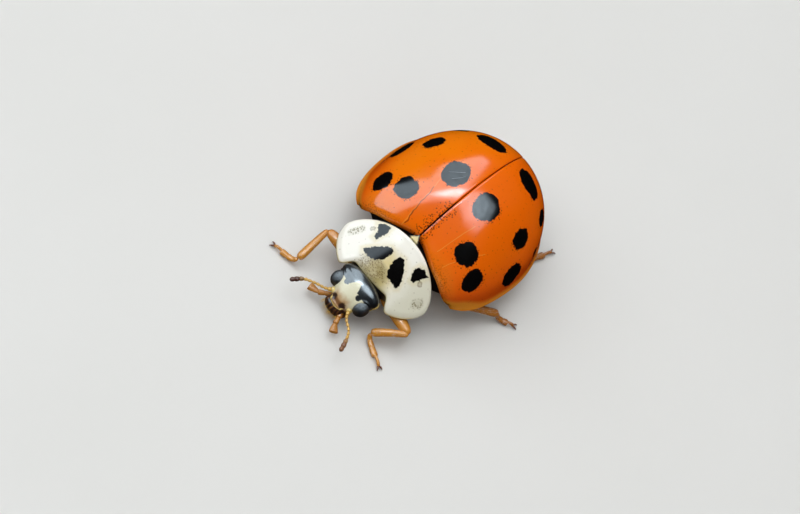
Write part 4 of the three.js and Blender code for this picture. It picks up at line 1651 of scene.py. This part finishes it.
def claw_pair(ankle, toe):
    forward = Vector((toe[0] - ankle[0], toe[1] - ankle[1], 0)).normalized()
    sideways = Vector((-forward.y, forward.x, 0))
    tip = over_ground(ankle, toe, 0.92, CLAW_LINE)
    claws = []
    for side in (-1, 1):
        spread = sideways * side
        route = [tip + spread * 0.02, tip + forward * 0.07 + spread * 0.06 + Vector((0, 0, 0.015)),
                 tip + forward * 0.13 + spread * 0.085 - Vector((0, 0, 0.05))]
        claws.append(limb("claw", route, (0.03, 0.022, 0.006), claw_look, steps=16, sides=12))
        tooth = [tip + forward * 0.03 + spread * 0.045,
                 tip + forward * 0.07 + spread * 0.05 - Vector((0, 0, 0.05))]
        claws.append(limb("tooth", tooth, (0.02, 0.015, 0.006), claw_look, steps=12, sides=10))
    return claws


# %% All six legs
BOW = 0.04                  # how far a thigh or a shin arches upwards
FOOT_LEAN = Vector((0, 0, -0.15))
LEG_COATS = ((60, 0.06), (130, 0.085), (200, 0.07))   # hairs per square mm and their length


def towards(start, end):
    return (Vector(end) - Vector(start)).normalized()


for number, (name, (hip, knee, ankle, toe)) in enumerate(LEGS.items()):
    coxa = limb(f"hip_{name}", [shifted(hip, 0.14), between(hip, knee, 0.12)], (0.2, 0.23, 0.15),
                leg_look, roundness=4.0)
    place(coxa, "leg")
    thigh_middle = shifted(between(hip, knee, 0.55), BOW)
    thigh = limb(f"thigh_{name}", [between(hip, knee, 0.1), thigh_middle, knee], THIGH_RADII,
                 leg_look, flatness=0.85, steps=48)
    place(thigh, "leg", f"{name}_femur")
    shin = limb(f"shin_{name}", [knee, shifted(between(knee, ankle, 0.5), BOW), ankle], SHIN_RADII,
                leg_look, steps=48)
    place(shin, "leg", f"{name}_tibia")
    foot = joined(f"foot_{name}", foot_joints(ankle, toe))
    place(foot, "leg", f"{name}_tarsus")
    place(joined(f"claws_{name}", claw_pair(ankle, toe)), "leg")
    leans = towards(hip, knee), towards(knee, ankle), towards(ankle, toe) + FOOT_LEAN
    coats = [
        bristle_coat("hairs", part, gold_hair, count, length, lean,
                     seed=number * 5 + 1 + order, thickness=0.0035)
        for order, (part, lean, (count, length)) in enumerate(zip((thigh, shin, foot), leans, LEG_COATS))
    ]
    place(joined(f"leg_hairs_{name}", coats), "leg")

# %% [markdown]
# ## Camera, floor and light
#
# The camera looks down on the beetle from in front and a little to its left, and is rolled so
# that the animal faces the lower left. It stands far off with a long lens, as for a close-up.
# One large soft panel high on the beetle's right is the key light, two weaker ones fill in from
# the front and the rear, and an even pale world lifts the shadows.

# %% The camera
CAMERA_AZIMUTH = math.radians(11.494)
CAMERA_ELEVATION = math.radians(53.061)
CAMERA_ROLL = math.radians(-39.125)
CAMERA_DISTANCE = 200.0      # mm from the beetle's origin
PIXELS_PER_MM = 34.378
IMAGE_SIZE = (800, 514)
ORIGIN_PIXEL = (398.493, 259.607)
SENSOR = 36.0


def direction(azimuth, elevation):
    """A unit vector from the beetle towards an azimuth, from straight ahead to its left."""
    flat = math.cos(elevation)
    return Vector((math.sin(azimuth) * flat, -math.cos(azimuth) * flat, math.sin(elevation)))


def make_camera():
    back = direction(CAMERA_AZIMUTH, CAMERA_ELEVATION)
    level = Vector((math.cos(CAMERA_AZIMUTH), math.sin(CAMERA_AZIMUTH), 0))
    rise = back.cross(level)
    right = math.cos(CAMERA_ROLL) * level - math.sin(CAMERA_ROLL) * rise
    up = math.sin(CAMERA_ROLL) * level + math.cos(CAMERA_ROLL) * rise
    data = bpy.data.cameras.new("camera")
    data.sensor_width = SENSOR
    data.lens = SENSOR * PIXELS_PER_MM * CAMERA_DISTANCE / IMAGE_SIZE[0]
    data.clip_start = 0.001
    off_x = (IMAGE_SIZE[0] / 2 - ORIGIN_PIXEL[0]) / PIXELS_PER_MM
    off_y = (ORIGIN_PIXEL[1] - IMAGE_SIZE[1] / 2) / PIXELS_PER_MM
    stand = back * CAMERA_DISTANCE + right * off_x + up * off_y
    camera = link(bpy.data.objects.new("camera", data))
    turn = Matrix((right, up, back)).transposed()
    camera.matrix_world = Matrix.Translation(to_frame(stand)) @ turn.to_4x4()
    bpy.context.scene.camera = camera
    print(f"lens {data.lens:.1f} mm, camera {camera.location.z:.3f} m above the floor")


make_camera()

# %% The floor
FLOOR_HALF = 0.6       # metres


def make_floor():
    finish = cloudy("pale floor", srgb(216, 215, 211), srgb(222, 221, 218), lump=(9.0, 3.0),
                    roughness=0.7)
    corners = [(-FLOOR_HALF, -FLOOR_HALF), (FLOOR_HALF, -FLOOR_HALF)]
    corners += [(FLOOR_HALF, FLOOR_HALF), (-FLOOR_HALF, FLOOR_HALF)]
    mesh = bpy.data.meshes.new("floor")
    mesh.from_pydata([(x, y, cad_box[0][2]) for x, y in corners], [], [(0, 1, 2, 3)])
    mesh.materials.append(finish.material)
    floor = link(bpy.data.objects.new("floor", mesh))
    floor.visible_glossy = False


make_floor()

# %% The lights
BODY_MIDDLE = (0, 1.5, 0.5)
COOL = (0.97, 0.985, 1.0)
WARM = (1.0, 0.98, 0.95)


def soft_panel(name, azimuth, elevation, distance, size, radiance, colour):
    """A square panel that faces the beetle and that no gloss mirrors. Its power follows from
    how bright it looks."""
    data = bpy.data.lights.new(name, "AREA")
    data.size = size
    data.energy = radiance * math.pi * size * size
    data.color = colour
    panel = link(bpy.data.objects.new(name, data))
    away = direction(math.radians(azimuth), math.radians(elevation))
    panel.location = to_frame(BODY_MIDDLE) + away * distance
    panel.rotation_euler = away.to_track_quat("Z", "Y").to_euler()
    panel.visible_glossy = False


soft_panel("key panel", -72, 60, 0.25, 0.34, 1.95, COOL)
soft_panel("front fill panel", 60, 35, 0.4, 0.4, 0.6, WARM)
soft_panel("rear fill panel", 175, 50, 0.4, 0.4, 0.85, WARM)

# %% [markdown]
# ### The sky that the shells mirror
#
# The gloss on a beetle is a picture of the sky between leaves: a patch with a definite outline,
# brightest close to the zenith. A sheet overhead stands in for it. Its outline is given as steps
# sideways and back for every step up from the beetle. Only reflections see the sheet, so it
# neither lights the floor nor casts a shadow.

# %% A glowing sheet that shows only as a reflection
OPEN_SKY = [(-6.0, -0.2), (-2.6, -0.03), (-0.97, -0.04), (-1.35, 0.5), (-1.07, 0.99), (-0.96, 1.77),
            (-0.55, 1.51), (-0.3, 0.68), (-0.2, 0.2), (-0.1, 0.14), (0.03, 0.36), (0.48, 0.48),
            (0.62, 0.19), (0.6, -0.13), (0.14, -0.33), (-0.16, -0.28), (-0.33, -0.62),
            (-0.64, -1.19), (-2.82, -3.1), (-6.0, -6.0)]
BRIGHTER_SKY = [(-0.12, -0.12), (-0.06, 0.1), (0.06, 0.28), (0.34, 0.3), (0.42, 0.1), (0.36, -0.12),
                (0.14, -0.24)]
BRIGHTEST_SKY = [(-0.46, -0.4), (-0.4, -0.26), (-0.28, -0.04), (-0.18, 0.06), (-0.13, 0.0),
                 (-0.17, -0.18), (-0.3, -0.34)]
SKY_LAYERS = ((OPEN_SKY, 3.2, 0.09), (BRIGHTER_SKY, 2.2, 0.14), (BRIGHTEST_SKY, 17.0, 0.1))
SKY_HEIGHT = 0.13          # metres
SKY_BRIGHTEST = 22.0
SKY_COLOUR = (0.74, 0.89, 1.0)
DARK = (0.0, 0.0, 0.0, 1.0)


# %% How bright the sky is at a point
def inside_distance(points, corners):
    """How far inside an outline each point lies, negative outside."""
    corners = np.array(corners)
    nearest = np.full(len(points), np.inf)
    within = np.zeros(len(points), bool)
    for start, end in zip(corners, np.roll(corners, -1, axis=0)):
        side = end - start
        along = np.clip((points - start) @ side / (side @ side), 0, 1)
        nearest = np.minimum(nearest, np.hypot(*(points - start - along[:, None] * side).T))
        crosses = (start[1] > points[:, 1]) != (end[1] > points[:, 1])
        slope = side[0] / side[1] if side[1] else 0.0
        within ^= crosses & (points[:, 0] < start[0] + (points[:, 1] - start[1]) * slope)
    return np.where(within, nearest, -nearest)


# %% The sheet itself
def sky_sheet():
    across = np.concatenate([np.linspace(-6.3, -1.6, 32), np.linspace(-1.55, 1.0, 64)])
    back = np.concatenate([np.linspace(-6.3, -1.4, 32), np.linspace(-1.35, 2.1, 80)])
    steps = np.array([(x, y) for y in back for x in across])
    glow = np.zeros(len(steps))
    for corners, radiance, softness in SKY_LAYERS:
        share = np.clip(inside_distance(steps, corners) / softness + 0.5, 0, 1)
        glow += radiance * share * share * (3 - 2 * share)
    centre = to_frame(BODY_MIDDLE)
    spots = [centre + Vector((x, y, 1.0)) * SKY_HEIGHT for x, y in steps]
    wide = len(across)
    faces = [(n, n + 1, n + 1 + wide, n + wide) for n in range(len(steps) - wide)
             if (n + 1) % wide]
    mesh = bpy.data.meshes.new("mirrored sky")
    mesh.from_pydata(spots, [], faces)
    mesh.attributes.new("glow", "FLOAT", "POINT").data.foreach_set("value", glow / SKY_BRIGHTEST)
    look = Finish("mirrored sky", Specular_IOR_Level=0.0, Emission_Strength=SKY_BRIGHTEST)
    shine = look.attribute("glow")
    haze = look.noise(11.0, 5.0).ramp(0.34, 0.66) * 0.6 + 0.7
    look.wear(
        Base_Color=DARK,
        Emission_Color=look.mix(shine * haze, DARK, (*SKY_COLOUR, 1.0)),
    )
    mesh.materials.append(look.material)
    sheet = link(bpy.data.objects.new("mirrored sky", mesh))
    sheet.visible_camera = sheet.visible_diffuse = sheet.visible_shadow = False
    print("points in the sky sheet:", len(steps), "of which glow:", int((glow > 0).sum()))


sky_sheet()

# %% The room
ROOM_STRENGTH = 0.16
world = bpy.data.worlds.new("pale room")
bpy.context.scene.world = world
world.use_nodes = True
room = world.node_tree.nodes["Background"].inputs
room["Color"].default_value = (1.0, 1.0, 1.0, 1.0)
room["Strength"].default_value = ROOM_STRENGTH
world.cycles_visibility.glossy = False
bpy.context.scene.view_settings.view_transform = "Standard"

# %% Sizes, and the end
print("faces in all:", sum(len(piece.data.polygons) for piece in made_pieces))
